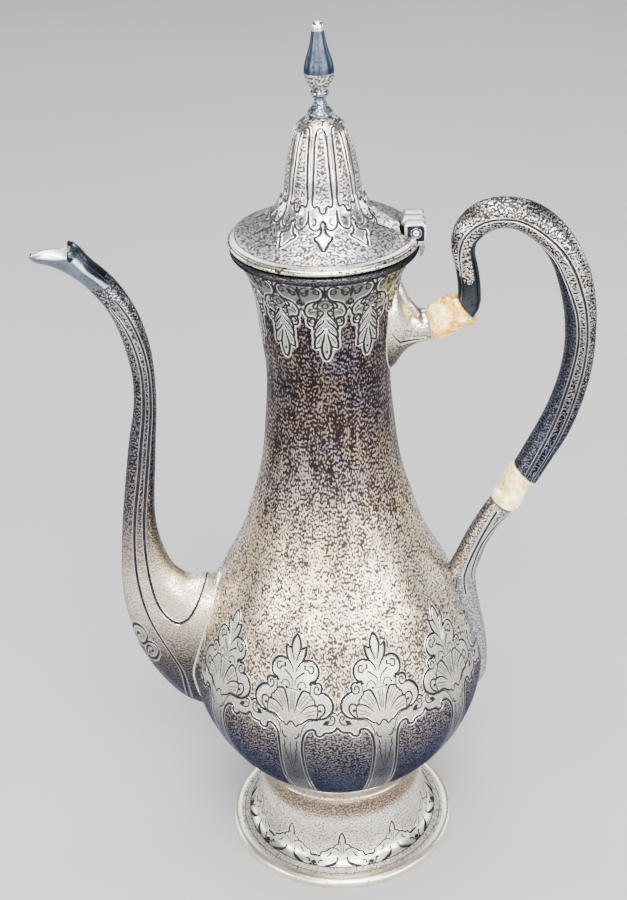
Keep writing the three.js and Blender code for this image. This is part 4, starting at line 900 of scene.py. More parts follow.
def body_object():
    b = Build("pot_body")
    zs = body_s.at_z
    st = table_strokes(body_s, B, zs, ("leaf", "side_top", "side_out", "volute", "curl", "cee", "strap", "end_up"), 1.22)
    for pts, w in B_VEINS:
        st += stroke(body_s, pts, w, mirror=False, to_s=zs)
    for u, z, r in B_DOTS:
        st += dot(body_s, u, float(zs(z)), r)
    k = float(body_s.scale(np.array([0.0]), zs(np.array([48.3])))[0][0])
    st += stroke(body_s, ellipse(0, float(zs(48.3)), 1.0 / k, 1.35), .38, mirror=False, sharp=True)
    st += dot(body_s, 0, float(zs(48.3)), 0.34)
    g = lambda name: sm(body_s, up(B[name][0]))
    # outline of the plain silver, from the leaf's tip round to the pilaster's foot
    cee = g("cee")
    cut = int(np.argmin(np.linalg.norm((cee - up([(15.6, 71.6)])[0]) * [0.6, 1], axis=1)))
    leaf = g("leaf")
    leaf = leaf[:int(len(leaf) * 0.62)]
    side = g("side_out")
    vol = g("volute")
    curl = g("curl")
    upper = join(leaf, g("side_top"), side[:int(len(side) * 0.5)], vol, curl[::-1], cee[:cut + 1], g("end_up"))
    strap = g("strap")
    right = join(upper, strap, [(7.5, float(zs(28.9))), (0, float(zs(28.9)))])
    outline = join(right, (right * [-1, 1])[::-1])
    panel = join(strap, [(7.5, float(zs(28.9))), (18.1, float(zs(28.9))), (18.1, float(zs(67.8)))])
    fill = up(B_FILL)
    areas = [(panel, 3), (panel * [-1, 1], 3), (outline, 1), (fill, 2), (fill * [-1, 1], 2)]
    s29, s96, s163 = float(zs(29.0)), float(zs(96.0)), float(zs(163.0))
    e = engrave(body_s, s29, s96, st, areas, flank=(0.28, 0.05, 5))
    b.patch(e, centre=18.0, repeats=SECTORS)
    # smooth parts below and above
    row = lambda s0, s1, n: [(float(np.interp(s, body_s.s, body_s.r)), float(np.interp(s, body_s.s, body_s.z))) for s in np.linspace(s0, s1, n)]
    b.turn(row(0, s29, 14), 3)
    b.turn(row(s96, s163, 30), 0)
    # neck
    st = table_strokes(body_s, N, zs, ("drop", "leaf3a", "leaf3b", "leaf2", "leaf1", "cee", "curl", "link", "top_vol"), 1.35)
    k = float(body_s.scale(np.array([0.0]), zs(np.array([184.25])))[0][0])
    st += stroke(body_s, ellipse(0, float(zs(184.25)), 2.0, 0.8), .4, mirror=False, sharp=True)
    for z, w in ((190.75, .35), (191.9, .3)):
        st += stroke(body_s, [(-21, z), (-9, z), (0, z), (9, z), (21, z)], w, mirror=False, to_s=zs)
    edge = up(N_EDGE)
    top = float(zs(190.75))
    right = join([(18.1, top), (18.1, edge[0][1])], edge)
    outline = join(right, (right * [-1, 1])[::-1])
    end = body_s.end
    dia = up(N["diamond"][0])
    e = engrave(body_s, s163, end, st, [(outline, 1), (join(dia, [(18.1, dia[-1][1]), (18.1, dia[0][1])]), 0),
                                       (join(dia, [(18.1, dia[-1][1]), (18.1, dia[0][1])]) * [-1, 1], 0)],
                flank=(0.42, 0.07, 6))
    b.patch(e, centre=0.0, repeats=SECTORS)
    # lip and inside
    rt, zt = float(body_s.r[-1]), float(body_s.z[-1])
    inner = []
    for s in np.linspace(body_s.end, 4.0, 60):
        r, z = np.interp(s, body_s.s, body_s.r), np.interp(s, body_s.s, body_s.z)
        nr, nz = np.interp(s, body_s.s, body_s.nr), np.interp(s, body_s.s, body_s.nz)
        inner.append((float(r - 0.8 * nr), float(min(z - 0.8 * nz, zt - 0.02))))
    inner.append((0.0, inner[-1][1]))
    b.turn([(rt, zt), (inner[0][0], zt)], 1)
    b.turn([(inner[0][0], zt)] + inner[1:], 4)
    obj = b.make([M_GROUND, M_PLAIN, M_LINE, M_PANEL, M_INNER, M_EDGE, M_NECK_EDGE])
    return done(obj, "pot", "silver_etched", "body")


def bead(name, profile, mat, arc=None, step=STEP, per=5):
    """A turned ring from a closed (r, z) outline, given counter-clockwise."""
    b = Build(name)
    p = np.asarray(profile, float)
    q = smooth(np.vstack([p, p[:1]]), per)
    if arc is None:
        b.turn(q, 0, sharp=50.0, step=step)
    else:
        a = np.radians(np.linspace(arc[0], arc[1], int((arc[1] - arc[0]) / step) + 1))
        P = np.stack([q[:, None, 0] * np.sin(a), -q[:, None, 0] * np.cos(a), np.broadcast_to(q[:, None, 1], (len(q), len(a)))], -1)
        d = np.gradient(q, axis=0)
        d[0] = d[-1] = q[1] - q[-2]
        d /= np.linalg.norm(d, axis=1)[:, None] + 1e-12
        N = np.stack([d[:, None, 1] * np.sin(a), -d[:, None, 1] * np.cos(a), np.broadcast_to(-d[:, None, 0], (len(q), len(a)))], -1)
        b.grid(P, 0, close_u=False, N=N)
        c = q[:-1].mean(0)
        for i, sign in ((0, -1), (len(a) - 1, 1)):
            ring = P[:-1, i]
            mid = np.array([[c[0] * math.sin(a[i]), -c[0] * math.cos(a[i]), c[1]]])
            n = np.array([math.cos(a[i]), math.sin(a[i]), 0]) * sign
            k = len(ring)
            F = [[k, (j + 1) % k, j] if sign < 0 else [k, j, (j + 1) % k] for j in range(k)]
            b.add(np.vstack([ring, mid]), np.tile(n, (k + 1, 1)), F, 0)
    return b.make([mat])


def rings():
    # the mouth bead is painted very dark, as shade under the lid's bead
    done(bead("mouth_bead", [(23.0, 191.5), (23.9, 191.45), (24.38, 191.95), (24.42, 192.75), (24.05, 193.3), (23.0, 193.35)], M_DIM), "pot", "silver_plain", "mouth_rim")
    done(bead("foot_bead", [(31.6, 0.0), (33.4, 0.0), (34.08, 0.5), (34.25, 1.4), (33.95, 2.25), (33.2, 2.82), (32.3, 3.0), (31.6, 2.9)], M_RIM), "pot", "silver_plain", "foot_rim")
    # the waist collar is painted darker, as shade under the belly
    done(bead("waist_collar", [(23.6, 25.7), (24.45, 25.68), (24.78, 26.2), (24.5, 26.75), (24.35, 27.4), (24.5, 28.3), (24.25, 29.0), (23.8, 29.0), (23.5, 28.2)], M_COLLAR), "pot", "silver_plain", "foot_collar")


def foot_object():
    b = Build("spread_foot")
    st = table_strokes(foot_s, F, None, ("edge",))
    for u, s, r in F_DOTS:
        st += dot(foot_s, u, s, r)
    for s, w in ((5.85, .3), (4.0, .22)):
        st += stroke(foot_s, [(-21, s), (-9, s), (0, s), (9, s), (21, s)], w, mirror=False)
    edge = sm(foot_s, F["edge"][0])
    right = join(edge, [(18.1, edge[-1][1]), (18.1, 5.85), (0, 5.85)])
    outline = join(right, (right * [-1, 1])[::-1])
    fill = np.asarray(F_FILL, float)
    e = engrave(foot_s, 0.0, foot_s.end, st, [(outline, 1), (fill, 2), (fill * [-1, 1], 2)], grid=(2.4, 1.6), side=1.5, flank=(0.36, 0.05, 4))
    b.patch(e, repeats=SECTORS)
    pts = []
    for s in np.linspace(foot_s.end, 0, 40):
        r, z = np.interp(s, foot_s.s, foot_s.r), np.interp(s, foot_s.s, foot_s.z)
        nr, nz = np.interp(s, foot_s.s, foot_s.nr), np.interp(s, foot_s.s, foot_s.nz)
        pts.append((float(r - 0.8 * nr), float(z - 0.8 * nz)))
    r0, z0 = float(foot_s.r[-1]), float(foot_s.z[-1])
    b.turn([(r0, z0), pts[0]], 1)
    b.turn(pts, 3)
    b.turn([pts[-1], (float(foot_s.r[0]), float(foot_s.z[0]))], 1)
    return done(b.make([M_FOOT, M_FOOT_PLAIN, M_LINE, M_INNER, M_EDGE]), "pot", "silver_plain", "foot")


# -------------------------------------------------------------------- lid
def lid_object():
    b = Build("bell_lid")
    st = table_strokes(lid_s, L, None, ("side", "arch", "scroll"), 1.3)
    for pts, w in L_SHARP:
        st += stroke(lid_s, pts, w * 1.3, sharp=True, flank=True)
    for pts, w in L_LINES:
        st += stroke(lid_s, pts, w, mirror=False)
    st += stroke(lid_s, [(-18, 34.5), (-18, 27)], .3, mirror=False)
    for s, w in ((37.9, .25), (1.15, .25)):
        st += stroke(lid_s, [(-21, s), (-9, s), (0, s), (9, s), (21, s)], w, mirror=False)
    edge = np.asarray(L_EDGE, float)
    right = join([(0, 38.2)], [(18.1, 38.2), (18.1, 17.0)], edge[::-1])
    outline = join(right, (right * [-1, 1])[::-1])
    side = sm(lid_s, L["side"][0])
    arch = sm(lid_s, L["arch"][0])
    pr = join(arch, side)
    panel = join(pr, (pr * [-1, 1])[::-1])
    end = lid_s.end
    border = [(-18.1, -0.5), (18.1, -0.5), (18.1, 1.15), (-18.1, 1.15)]
    opts = dict(areas=[(outline, 1), (panel, 0), (border, 1)], grid=(2.2, 2.0), side=2.0, flank=(0.36, 0.05, 4))
    e = engrave(lid_s, 0.0, end, st, **opts)
    # the notch for the hinge, past x = 19.15 and within 5.9 of the middle plane
    rs = np.interp
    notch = []
    s_at = lambda r: float(np.interp(-r, -lid_s.r, lid_s.s))
    for y in np.linspace(0, 5.9, 7):
        r = math.hypot(19.15, y)
        notch.append((90 - math.degrees(math.atan2(y, 19.15)), s_at(r)))
    for r in np.linspace(math.hypot(19.15, 5.9), 23.95, 7)[1:]:
        notch.append((90 - math.degrees(math.asin(5.9 / r)), s_at(r)))
    for a in (notch[-1][0], 92.0):
        notch.append((a, -0.6))
    notch = np.array(notch + [(92.0, notch[0][1])])
    holed = engrave(lid_s, 0.0, end, st, hole=notch - [72, 0], **opts)
    for i in range(SECTORS):
        if i == 2:
            b.patch(holed, centre=72.0)
        elif i == 3:
            m = dict(holed)
            m["V"] = holed["V"] * [-1, 1]
            m["F"] = holed["F"][:, ::-1]
            b.patch(m, centre=108.0)
        else:
            b.patch(e, centre=36.0 * i)
    lip = notch[:-3]
    full = np.vstack([(lip * [-1, 1] + [180, 0])[::-1], lip])
    o = np.array([lid_s.P(u, s) for u, s in full])
    n = np.array([lid_s.N(u, s) for u, s in full])
    i_ = o - 0.8 * n
    for j in range(len(full) - 1):
        q = np.array([o[j], o[j + 1], i_[j + 1], i_[j]])
        g = np.cross(q[1] - q[0], q[2] - q[0])
        if np.linalg.norm(g) < 1e-9:
            continue
        g /= np.linalg.norm(g)
        b.add(q, np.tile(g, (4, 1)), [[0, 1, 2, 3]], 1)
    # inside and lower edge, left open over the notch
    pts = []
    for s in np.linspace(end - 0.5, 0, 44):
        r, z = np.interp(s, lid_s.s, lid_s.r), np.interp(s, lid_s.s, lid_s.z)
        nr, nz = np.interp(s, lid_s.s, lid_s.nr), np.interp(s, lid_s.s, lid_s.nz)
        pts.append((max(0.0, float(r - 0.8 * nr)), float(z - 0.8 * nz)))
    a = np.radians(np.arange(0, 360, 3.0))
    pts = np.array(pts)
    P = np.stack([pts[:, None, 0] * np.sin(a), -pts[:, None, 0] * np.cos(a), np.broadcast_to(pts[:, None, 1], (len(pts), len(a)))], -1)
    R, C = P.shape[:2]
    Fc = []
    for i in range(R - 1):
        for j in range(C):
            j2 = (j + 1) % C
            mid = (P[i, j] + P[i + 1, j2]) / 2
            if mid[0] > 19.0 and abs(mid[1]) < 6.0:
                continue
            Fc.append([i * C + j, i * C + j2, (i + 1) * C + j2, (i + 1) * C + j])
    du = np.roll(P, -1, 1) - np.roll(P, 1, 1)
    ds = np.gradient(P, axis=0)
    Nn = np.cross(du, ds)
    Nn /= np.linalg.norm(Nn, axis=-1, keepdims=True) + 1e-9
    Nn[0] = [0, 0, -1]
    b.add(P.reshape(-1, 3), Nn.reshape(-1, 3), Fc, 3)
    low, lowin = (float(lid_s.r[0]), float(lid_s.z[0])), tuple(pts[-1])
    arc = np.radians(np.linspace(90 + 15.0, 450 - 15.0, 150))
    for k in range(len(arc) - 1):
        q = np.array([(r * math.sin(t), -r * math.cos(t), z) for t, (r, z) in ((arc[k], lowin), (arc[k + 1], lowin), (arc[k + 1], low), (arc[k], low))])
        b.add(q, np.tile([0, 0, -1.0], (4, 1)), [[0, 1, 2, 3]], 1)
    done(b.make([M_LID, M_LID_PLAIN, M_LID_LINE, M_INNER, M_EDGE]), "lid", "silver_etched", "lid")
    half = math.degrees(math.asin(5.9 / 23.5))
    rim = bead("lid_bead", [(22.2, 193.95), (24.15, 193.92), (24.7, 194.3), (24.85, 194.8), (24.5, 195.3), (23.8, 195.55), (22.2, 195.55)], M_LID_RIM, arc=(90 + half, 450 - half))
    done(rim, "lid", "silver_plain", "lid_rim")
    bez = bead("lid_bezel_ring", [(19.35, 190.45), (19.95, 190.45), (20.0, 192), (20.0, 194.35), (19.3, 194.35), (19.3, 192)], M_INNER, per=2)
    done(bez, "lid", "silver_plain", "lid_bezel")


def finial_object():
    b = Build("bud_finial")
    lower = [(3.05, 226.9), (3.2, 227.3), (3.15, 227.75), (2.75, 228.25), (1.95, 229.2), (1.55, 230.0), (1.45, 230.6), (1.5, 231.2), (1.85, 231.6), (2.2, 232.0), (2.28, 232.45), (2.15, 232.9), (1.85, 233.25), (1.95, 233.6), (2.6, 234.3), (3.3, 235.4), (3.68, 236.6), (3.75, 237.6)]
    upper = [(3.75, 237.6), (3.62, 239.0), (3.3, 240.4), (2.85, 241.9), (2.4, 243.3), (2.05, 244.7), (1.75, 246.2), (1.55, 247.7)]
    tip = [(1.55, 247.7), (1.5, 248.6), (1.38, 249.2), (1.0, 249.72), (0.5, 249.95), (0.0, 250.0)]
    b.turn([(0.0, 226.9), (3.05, 226.9)], 0, step=5)
    b.turn(smooth(lower, 4), 0, step=5, sharp=60)
    b.turn(smooth(upper, 4), 1, step=5, sharp=60)
    # the bright tip is a painted highlight
    b.turn(smooth(tip, 4), 2, step=5, sharp=60)
    return done(b.make([M_SPECK, M_FINIAL, M_BRIGHT]), "lid", "silver_dark", "finial")


# ------------------------------------------------------ spout, handle, arm
def along(deg):
    return math.cos(math.radians(deg)), math.sin(math.radians(deg))


# where one piece meets the next: centre x, z and the direction of the handle there, in degrees
UP_IN, UP_OUT = ((26.9, 169.5), 13), ((36.4, 174.2), 35)
LOW_IN, LOW_OUT = ((53.7, 123.2), 226), ((47.5, 113.2), 234)


def face(at, h, b, shift=0.0, turn=None):
    (x, z), a = at
    dx, dz = along(a if turn is None else turn)
    x, z = x + dx * shift, z + dz * shift
    return (x - dz * h, z + dx * h, x + dz * h, z - dx * h, b)


# sections across the middle plane: the two ends (x, z, x, z) and the half width along Y
SPOUT = [
    (-33.0, 92.6, -37.0, 43.6, 8.6), (-37.6, 91.3, -45.6, 47.6, 8.2), (-40.6, 91.3, -51.0, 53.4, 7.7), (-43.2, 92.3, -55.9, 61.4, 7.2),
    (-45.6, 94.4, -59.2, 69.6, 6.6), (-47.2, 97.2, -61.0, 79.2, 6.1), (-48.6, 101.2, -61.7, 89.6, 5.6), (-49.8, 106.6, -61.0, 99.4, 5.1),
    (-50.2, 113.0, -59.7, 110.4, 4.7), (-49.8, 119.4, -58.4, 119.0, 4.4), (-48.9, 128.0, -56.9, 128.4, 4.2), (-48.0, 137.0, -55.3, 137.4, 4.0),
    (-47.0, 147.0, -53.3, 147.0, 3.9), (-46.7, 157.0, -52.8, 156.0, 3.8), (-47.3, 165.4, -53.8, 163.8, 3.7), (-49.0, 172.8, -55.3, 170.2, 3.7),
    (-51.0, 177.8, -57.1, 175.0, 3.7), (-53.6, 182.4, -59.4, 178.9, 3.75), (-57.0, 186.7, -62.2, 182.5, 3.9), (-60.6, 190.1, -65.2, 185.3, 4.1),
    (-64.2, 194.6, -68.5, 187.6, 4.2), (-69.5, 196.2, -72.0, 189.1, 3.75), (-73.4, 195.2, -75.0, 189.8, 2.6), (-76.2, 193.2, -76.4, 190.9, 0.9),
]
HANDLE = [
    face(UP_OUT, 3.7, 3.6, 0.15), (34.4, 179.0, 40.3, 174.4, 3.5), (34.2, 181.6, 40.3, 180.2, 3.3), (33.6, 185.6, 39.5, 185.6, 3.2),
    (32.6, 189.8, 38.7, 189.4, 3.2), (32.5, 193.6, 39.0, 191.8, 3.4), (33.7, 197.4, 40.2, 193.4, 3.6), (36.6, 201.0, 41.8, 194.7, 3.8),
    (41.0, 203.4, 44.0, 195.7, 4.0), (46.4, 204.0, 46.6, 196.0, 4.1), (51.6, 203.2, 49.4, 195.3, 4.1), (56.4, 200.9, 52.6, 193.3, 4.1),
    (60.6, 197.3, 55.8, 190.1, 4.1), (64.2, 192.7, 58.3, 186.3, 4.1), (67.2, 187.3, 60.1, 181.5, 4.0), (69.4, 180.7, 61.6, 175.7, 4.0),
    (70.7, 172.9, 62.6, 169.5, 4.0), (71.0, 164.6, 62.9, 162.4, 4.0), (70.6, 156.4, 62.2, 155.6, 4.0), (69.3, 148.8, 60.8, 149.6, 4.0),
    (67.3, 141.4, 58.9, 143.8, 4.1), (64.8, 134.8, 56.4, 138.0, 4.1), (61.6, 128.9, 53.3, 131.6, 4.15), face(LOW_IN, 4.3, 4.2, -0.15),
]
ARM = [
    face(LOW_OUT, 3.7, 3.7, 0.15), (47.4, 107.0, 41.8, 111.2, 3.5), (44.2, 101.4, 38.0, 104.2, 3.4), (42.0, 95.2, 35.0, 97.2, 3.4),
    (40.6, 89.6, 32.5, 91.6, 3.5), (41.0, 84.6, 32.0, 86.0, 3.7), (41.9, 79.4, 33.0, 79.6, 3.6), (43.1, 73.0, 35.0, 72.6, 3.2),
    (44.2, 66.0, 37.0, 65.6, 2.8), (44.5, 59.4, 38.0, 59.4, 2.4), (44.0, 53.6, 38.0, 53.8, 1.8), (42.6, 50.6, 38.0, 51.4, 1.0),
]
HORN = [
    (12.0, 186.0, 11.0, 156.0, 9.0), (17.5, 185.0, 15.4, 156.6, 8.6), (20.2, 180.6, 17.9, 158.4, 7.4), (21.6, 177.2, 19.9, 161.6, 5.8),
    (23.4, 174.8, 22.6, 163.8, 4.7), face(UP_IN, 4.15, 4.2, -1.2), face(UP_IN, 4.1, 4.1, -0.15),
]


def hug(V, sink=0.35):
    """Points that would be inside the pot's wall lie on the wall instead, sunk a little into it."""
    V = V.copy()
    rad = np.hypot(V[:, 0], V[:, 1])
    wall = body_r(np.clip(V[:, 2], 26.7, 193.2)) - sink
    k = rad < wall
    V[k, 0] *= wall[k] / np.maximum(rad[k], 1e-6)
    V[k, 1] *= wall[k] / np.maximum(rad[k], 1e-6)
    return V


def cap(b, surf, s, mat, flip):
    """Closes a loft at s with a flat face."""
    u = np.arange(0, 360, 6.0)
    ring = surf.P(u, np.full(len(u), s))
    c = ring.mean(0)
    rows = [c + (ring - c) * f for f in (1.0, 0.9, 0.6, 0.3, 0.02)]
    P = np.array(rows)
    n = np.cross(ring[15] - c, ring[0] - c)
    n /= np.linalg.norm(n)
    if not flip:
        n = -n
    R, C = P.shape[:2]
    F = []
    for i in range(R - 1):
        for j in range(C):
            j2 = (j + 1) % C
            F.append([i * C + j, (i + 1) * C + j, (i + 1) * C + j2, i * C + j2])
    q = P.reshape(-1, 3)
    g = np.cross(q[F[0][1]] - q[F[0][0]], q[F[0][2]] - q[F[0][0]])
    if g @ n < 0:
        F = [f[::-1] for f in F]
    b.add(q, np.tile(n, (len(q), 1)), F, mat)


SPOUT_A = [(62, 121.5), (66, 119.6), (77, 115.3), (86, 109.6), (90.5, 103.6), (91.5, 97.9), (90.5, 88.5), (90, 78.6), (88, 68.2), (83, 59.2), (80, 48.6),
           (79.5, 39.1), (79.5, 29.8), (79, 21.3), (73, 13.2), (62.5, 8.9), (45, 7.2), (30, 6.4)]
SPOUT_B = [(107, 123.0), (111, 121.1), (117, 115.8), (122, 110.2), (126, 105.1), (128, 98.8), (127.5, 91.4), (126, 82.5), (123, 73.9), (120, 67.8), (117, 58.5),
           (113, 49.2), (110, 41.0), (106, 32.8), (103.5, 25.4), (103.6, 18.5), (109, 13.2), (121, 9.9), (138, 7.8), (158, 6.4), (179.9, 5.7)]
SPOUT_SCROLLS = [
    ([(9, 35.0), (11, 32.4), (15, 30.0), (22, 28.5), (27.5, 26.9)], .45),
    ([(27.5, 26.9), (40, 27.2), (48, 26.6), (56.5, 25.2), (61.0, 23.5), (60.0, 22.1), (52.5, 21.6), (44.0, 21.6), (36.0, 22.3), (33.0, 23.4), (34.0, 24.7),
      (42.0, 24.8), (46.5, 23.9), (44.5, 23.2)], .52),
    ([(44.0, 21.6), (53.5, 21.3), (60.5, 20.1), (64.0, 18.5), (62.5, 17.2), (55.5, 16.8), (44.5, 17.3), (37.0, 18.3), (35.0, 19.5), (42.0, 20.4), (50.5, 20.5),
      (55.0, 19.5), (55.0, 18.7), (48.5, 18.8)], .52),
    ([(0.1, 25.2), (12, 25.6), (22, 26.4), (27.5, 26.9)], .4),
    ([(0.1, 21.4), (12, 21.2), (24, 20.0), (32.5, 18.7), (38.5, 17.7)], .4),
]


def left(points):
    """(u, s) with u from the spout's outer edge, as degrees from its inner edge."""
    p = np.asarray(points, float)
    return np.column_stack([p[:, 0] - 180.0, p[:, 1]])


def spout_object():
    surf = Lofted(SPOUT, per=10)
    b = Build("swan_neck_spout")
    st = []
    st += stroke(surf, left(SPOUT_A), [.35, .85, .9, .95, .7], flank=True)
    st += stroke(surf, left(SPOUT_B), [.35, .85, .9, .95, .7], flank=True)
    for pts, w in SPOUT_SCROLLS:
        st += stroke(surf, left(pts), w, flank=True)
    A, Bq = sm(surf, left(SPOUT_A)), sm(surf, left(SPOUT_B))
    end = surf.end
    # the beak past the tipz line takes M_DARK, a painted dark reflection
    tipz = [(-181, 131.0), (-120, 128.0), (-60, 127.0), (0, 128.6), (60, 127.0), (120, 128.0), (181, 131.0), (181, end + 1), (-181, end + 1)]
    areas = [(tipz, 3)]
    # the beak is open above z = 191.9, past x = -65.9
    ss = np.linspace(110, end - 0.01, 700)
    uu = np.linspace(0, 179, 360)
    top = surf.P(np.zeros(len(ss)) + 180, ss)
    hole = []
    for s in ss:
        p = surf.P(uu + 180, np.full(len(uu), s))
        g = np.minimum(-65.9 - p[:, 0], p[:, 2] - 191.9)
        pos = np.where(g > 0)[0]
        if len(pos):
            hole.append((s, uu[pos[0]], uu[pos[-1]]))
    hole = np.array(hole)
    first = hole[0, 0]
    lower = hole[hole[:, 1] > 0.6]           # rows where the cut starts away from the crest
    right = [(0.0, float(lower[-1, 0]) + 0.25 if len(lower) else first)]
    for s, a, c in lower[::-1][::3]:
        right.append((float(a), float(s)))
    for s, a, c in hole[::6]:
        right.append((float(c), float(s)))
    right.append((float(hole[-1, 2]), end + 0.5))
    right.append((0.0, end + 0.5))
    right = np.array(right)
    outline = np.vstack([right[:-1], (right[1:-1] * [-1, 1])[::-1]])
    e = engrave(surf, 0.0, end, st, areas, half=180.0, grid=(1.9, 2.0), ring=6.0, side=2.0, hole=outline, flank=(0.30, 0.10, 1), deepest=0.26)
    b.patch(e, centre=180.0)
    # inside of the beak
    far = engrave(surf, 104.0, end, [], half=180.0, grid=(2.0, 2.0), ring=6.0, side=2.0, hole=outline)
    far["dep"] = 0.0
    b.patch(far, centre=180.0, push=0.7, inner=True, swap=4)
    lip = right[:-2]
    full = np.vstack([(lip[1:] * [-1, 1])[::-1], lip])
    o = surf.P(full[:, 0] + 180, full[:, 1])
    n = surf.N(full[:, 0] + 180, full[:, 1])
    i_ = o - 0.7 * n
    for j in range(len(full) - 1):
        q = np.array([o[j], i_[j], i_[j + 1], o[j + 1]])
        g = np.cross(q[1] - q[0], q[2] - q[0])
        if np.linalg.norm(g) > 1e-9:
            g /= np.linalg.norm(g)
            if g[2] < 0 and abs(g[2]) > abs(g[0]):
                g, q = -g, q[::-1]
            b.add(q, np.tile(g, (4, 1)), [[0, 1, 2, 3]], 1)
    obj = b.make([M_SPOUT, M_SPOUT_EDGE, M_LINE, M_DARK, M_BEAK], shape=hug)
    done(obj, "pot", "silver_etched", "spout")
    # raised border where the spout is soldered to the belly
    us = np.arange(0, 360, 4.0)
    path = []
    for u in us:
        s = np.linspace(0, 14, 300)
        p = surf.P(np.full(300, u), s)
        gap = np.hypot(p[:, 0], p[:, 1]) - body_r(np.clip(p[:, 2], 26.7, 193))
        k = int(np.argmax(gap > 0.25)) if (gap > 0.25).any() else 0
        path.append(p[k])
    path = np.array(path)
    obj = tube("spout_seam", path, 0.62, M_BRIGHT, closed=True, flat=0.8)
    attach(obj, "pot")


def tube(name, path, radius, mat, closed=False, sides=10, flat=1.0):
    """A round wire along a path, as a mesh."""
    p = np.asarray(path, float)
    n = len(p)
    t = (np.roll(p, -1, 0) - np.roll(p, 1, 0)) if closed else np.gradient(p, axis=0)
    t /= np.linalg.norm(t, axis=1)[:, None] + 1e-12
    side = np.cross(t, [0, 0, 1.0])
    bad = np.linalg.norm(side, axis=1) < 0.05
    side[bad] = np.cross(t[bad], [1.0, 0, 0])
    side /= np.linalg.norm(side, axis=1)[:, None]
    for i in range(1, n):
        if side[i] @ side[i - 1] < 0:
            side[i] = -side[i]
    upv = np.cross(side, t)
    r = np.broadcast_to(np.asarray(radius, float), (n,))
    a = np.linspace(0, 2 * np.pi, sides, endpoint=False)
    off = (side[:, None, :] * np.cos(a)[None, :, None] + upv[:, None, :] * np.sin(a)[None, :, None] * flat)
    P = p[:, None, :] + off * r[:, None, None]
    N = off / (np.linalg.norm(off, axis=-1, keepdims=True) + 1e-12)
    b = Build(name)
    if closed:
        P, N = np.concatenate([P, P[:1]]), np.concatenate([N, N[:1]])
    b.grid(P, 0, N=N)
    g = np.cross(P[0, 1] - P[0, 0], P[1, 0] - P[0, 0]) if len(P) > 1 else np.zeros(3)
    if g @ N[0, 0] < 0:
        b.f = [f[::-1] for f in b.f]
    if not closed:
        for i in (0, -1):
            c = P[i].mean(0)[None]
            d = t[i] * (-1 if i == 0 else 1)
            F = [[j, (j + 1) % sides, sides] for j in range(sides)]
            q = np.vstack([P[i], c + d * 0.15 * r[i]])
            g = np.cross(q[1] - q[0], q[sides] - q[0])
            if g @ d < 0:
                F = [f[::-1] for f in F]
            b.add(q, np.tile(d, (sides + 1, 1)), F, 0)
    return b.make([mat])


HANDLE_1 = [(128, 9.5), (118, 13.5), (104, 18.3), (91, 25.9), (85, 31), (83, 34.6), (81, 39.7), (83, 44.7), (87, 48.3), (91, 53), (95, 57), (98, 62.7),
            (103, 68.4), (107, 77.4), (105, 83.9), (102.5, 91), (104, 101.8), (108, 108), (113, 115), (114, 119.5), (114, 121)]
HANDLE_2 = [(3, 41.2), (14, 43.2), (43, 50), (56, 57.8), (68, 64.9), (74.5, 69), (77.5, 76.5), (69, 86), (67, 95), (75, 107.5), (82, 117.5), (84, 121)]
HANDLE_3 = [(62, 4.5), (60, 8.5), (58, 12.5), (55, 17), (50, 20.5)]


def swell(u, s):
    """The handle's edges are full and its sides slightly hollow, as on a drawn moulding."""
    f = np.radians(u)
    k = np.interp(s, [0, 6, 30, 112, 121.5], [0.0, 0.5, 1.0, 1.0, 0.6])
    return 1.0 + 0.035 * k * np.cos(4 * f) - 0.02 * k


def handle_object():
    surf = Lofted([h + (0.9,) for h in HANDLE], per=10, shape=swell)
    b = Build("looped_handle")
    st = stroke(surf, left(HANDLE_1), [.4, .75, .75, .75, .6], flank=True)
    st += stroke(surf, left(HANDLE_2), [.3, .6, .65, .65, .6], flank=True)
    st += stroke(surf, left(HANDLE_3), [.3, .45, .3])
    h1, h2 = sm(surf, left(HANDLE_1)), sm(surf, left(HANDLE_2))
    end = surf.end
    # the inner side, past the second line, takes M_INSIDE, painted dark as shade
    mid = join(h2, [(-180, end), (-180, 41)])
    areas = [(mid, 3), (np.asarray(mid) * [-1, 1], 3),
             ([(-181, -1), (181, -1), (181, 24.0), (136, 24.0), (126, 19.0), (121, 15.0), (118, 12.0), (112, 9.4), (92, 7.6), (70, 8.6), (50, 11.0), (25, 12.2), (0, 12.0),
               (-25, 12.2), (-50, 11.0), (-70, 8.6), (-92, 7.6), (-112, 9.4), (-118, 12.0), (-121, 15.0), (-126, 19.0), (-136, 24.0), (-181, 24.0)], 4)]
    e = engrave(surf, 0.0, end, st, areas, half=180.0, grid=(1.8, 1.9), ring=6.0, side=1.9, flank=(0.30, 0.10, 1), deepest=0.26)
    b.patch(e, centre=180.0)
    cap(b, surf, 0.0, 1, False)
    cap(b, surf, end, 1, True)
    done(b.make([M_HANDLE, M_HANDLE_EDGE, M_LINE, M_INSIDE, M_STEEL_DARK]), "pot", "silver_etched", "handle")


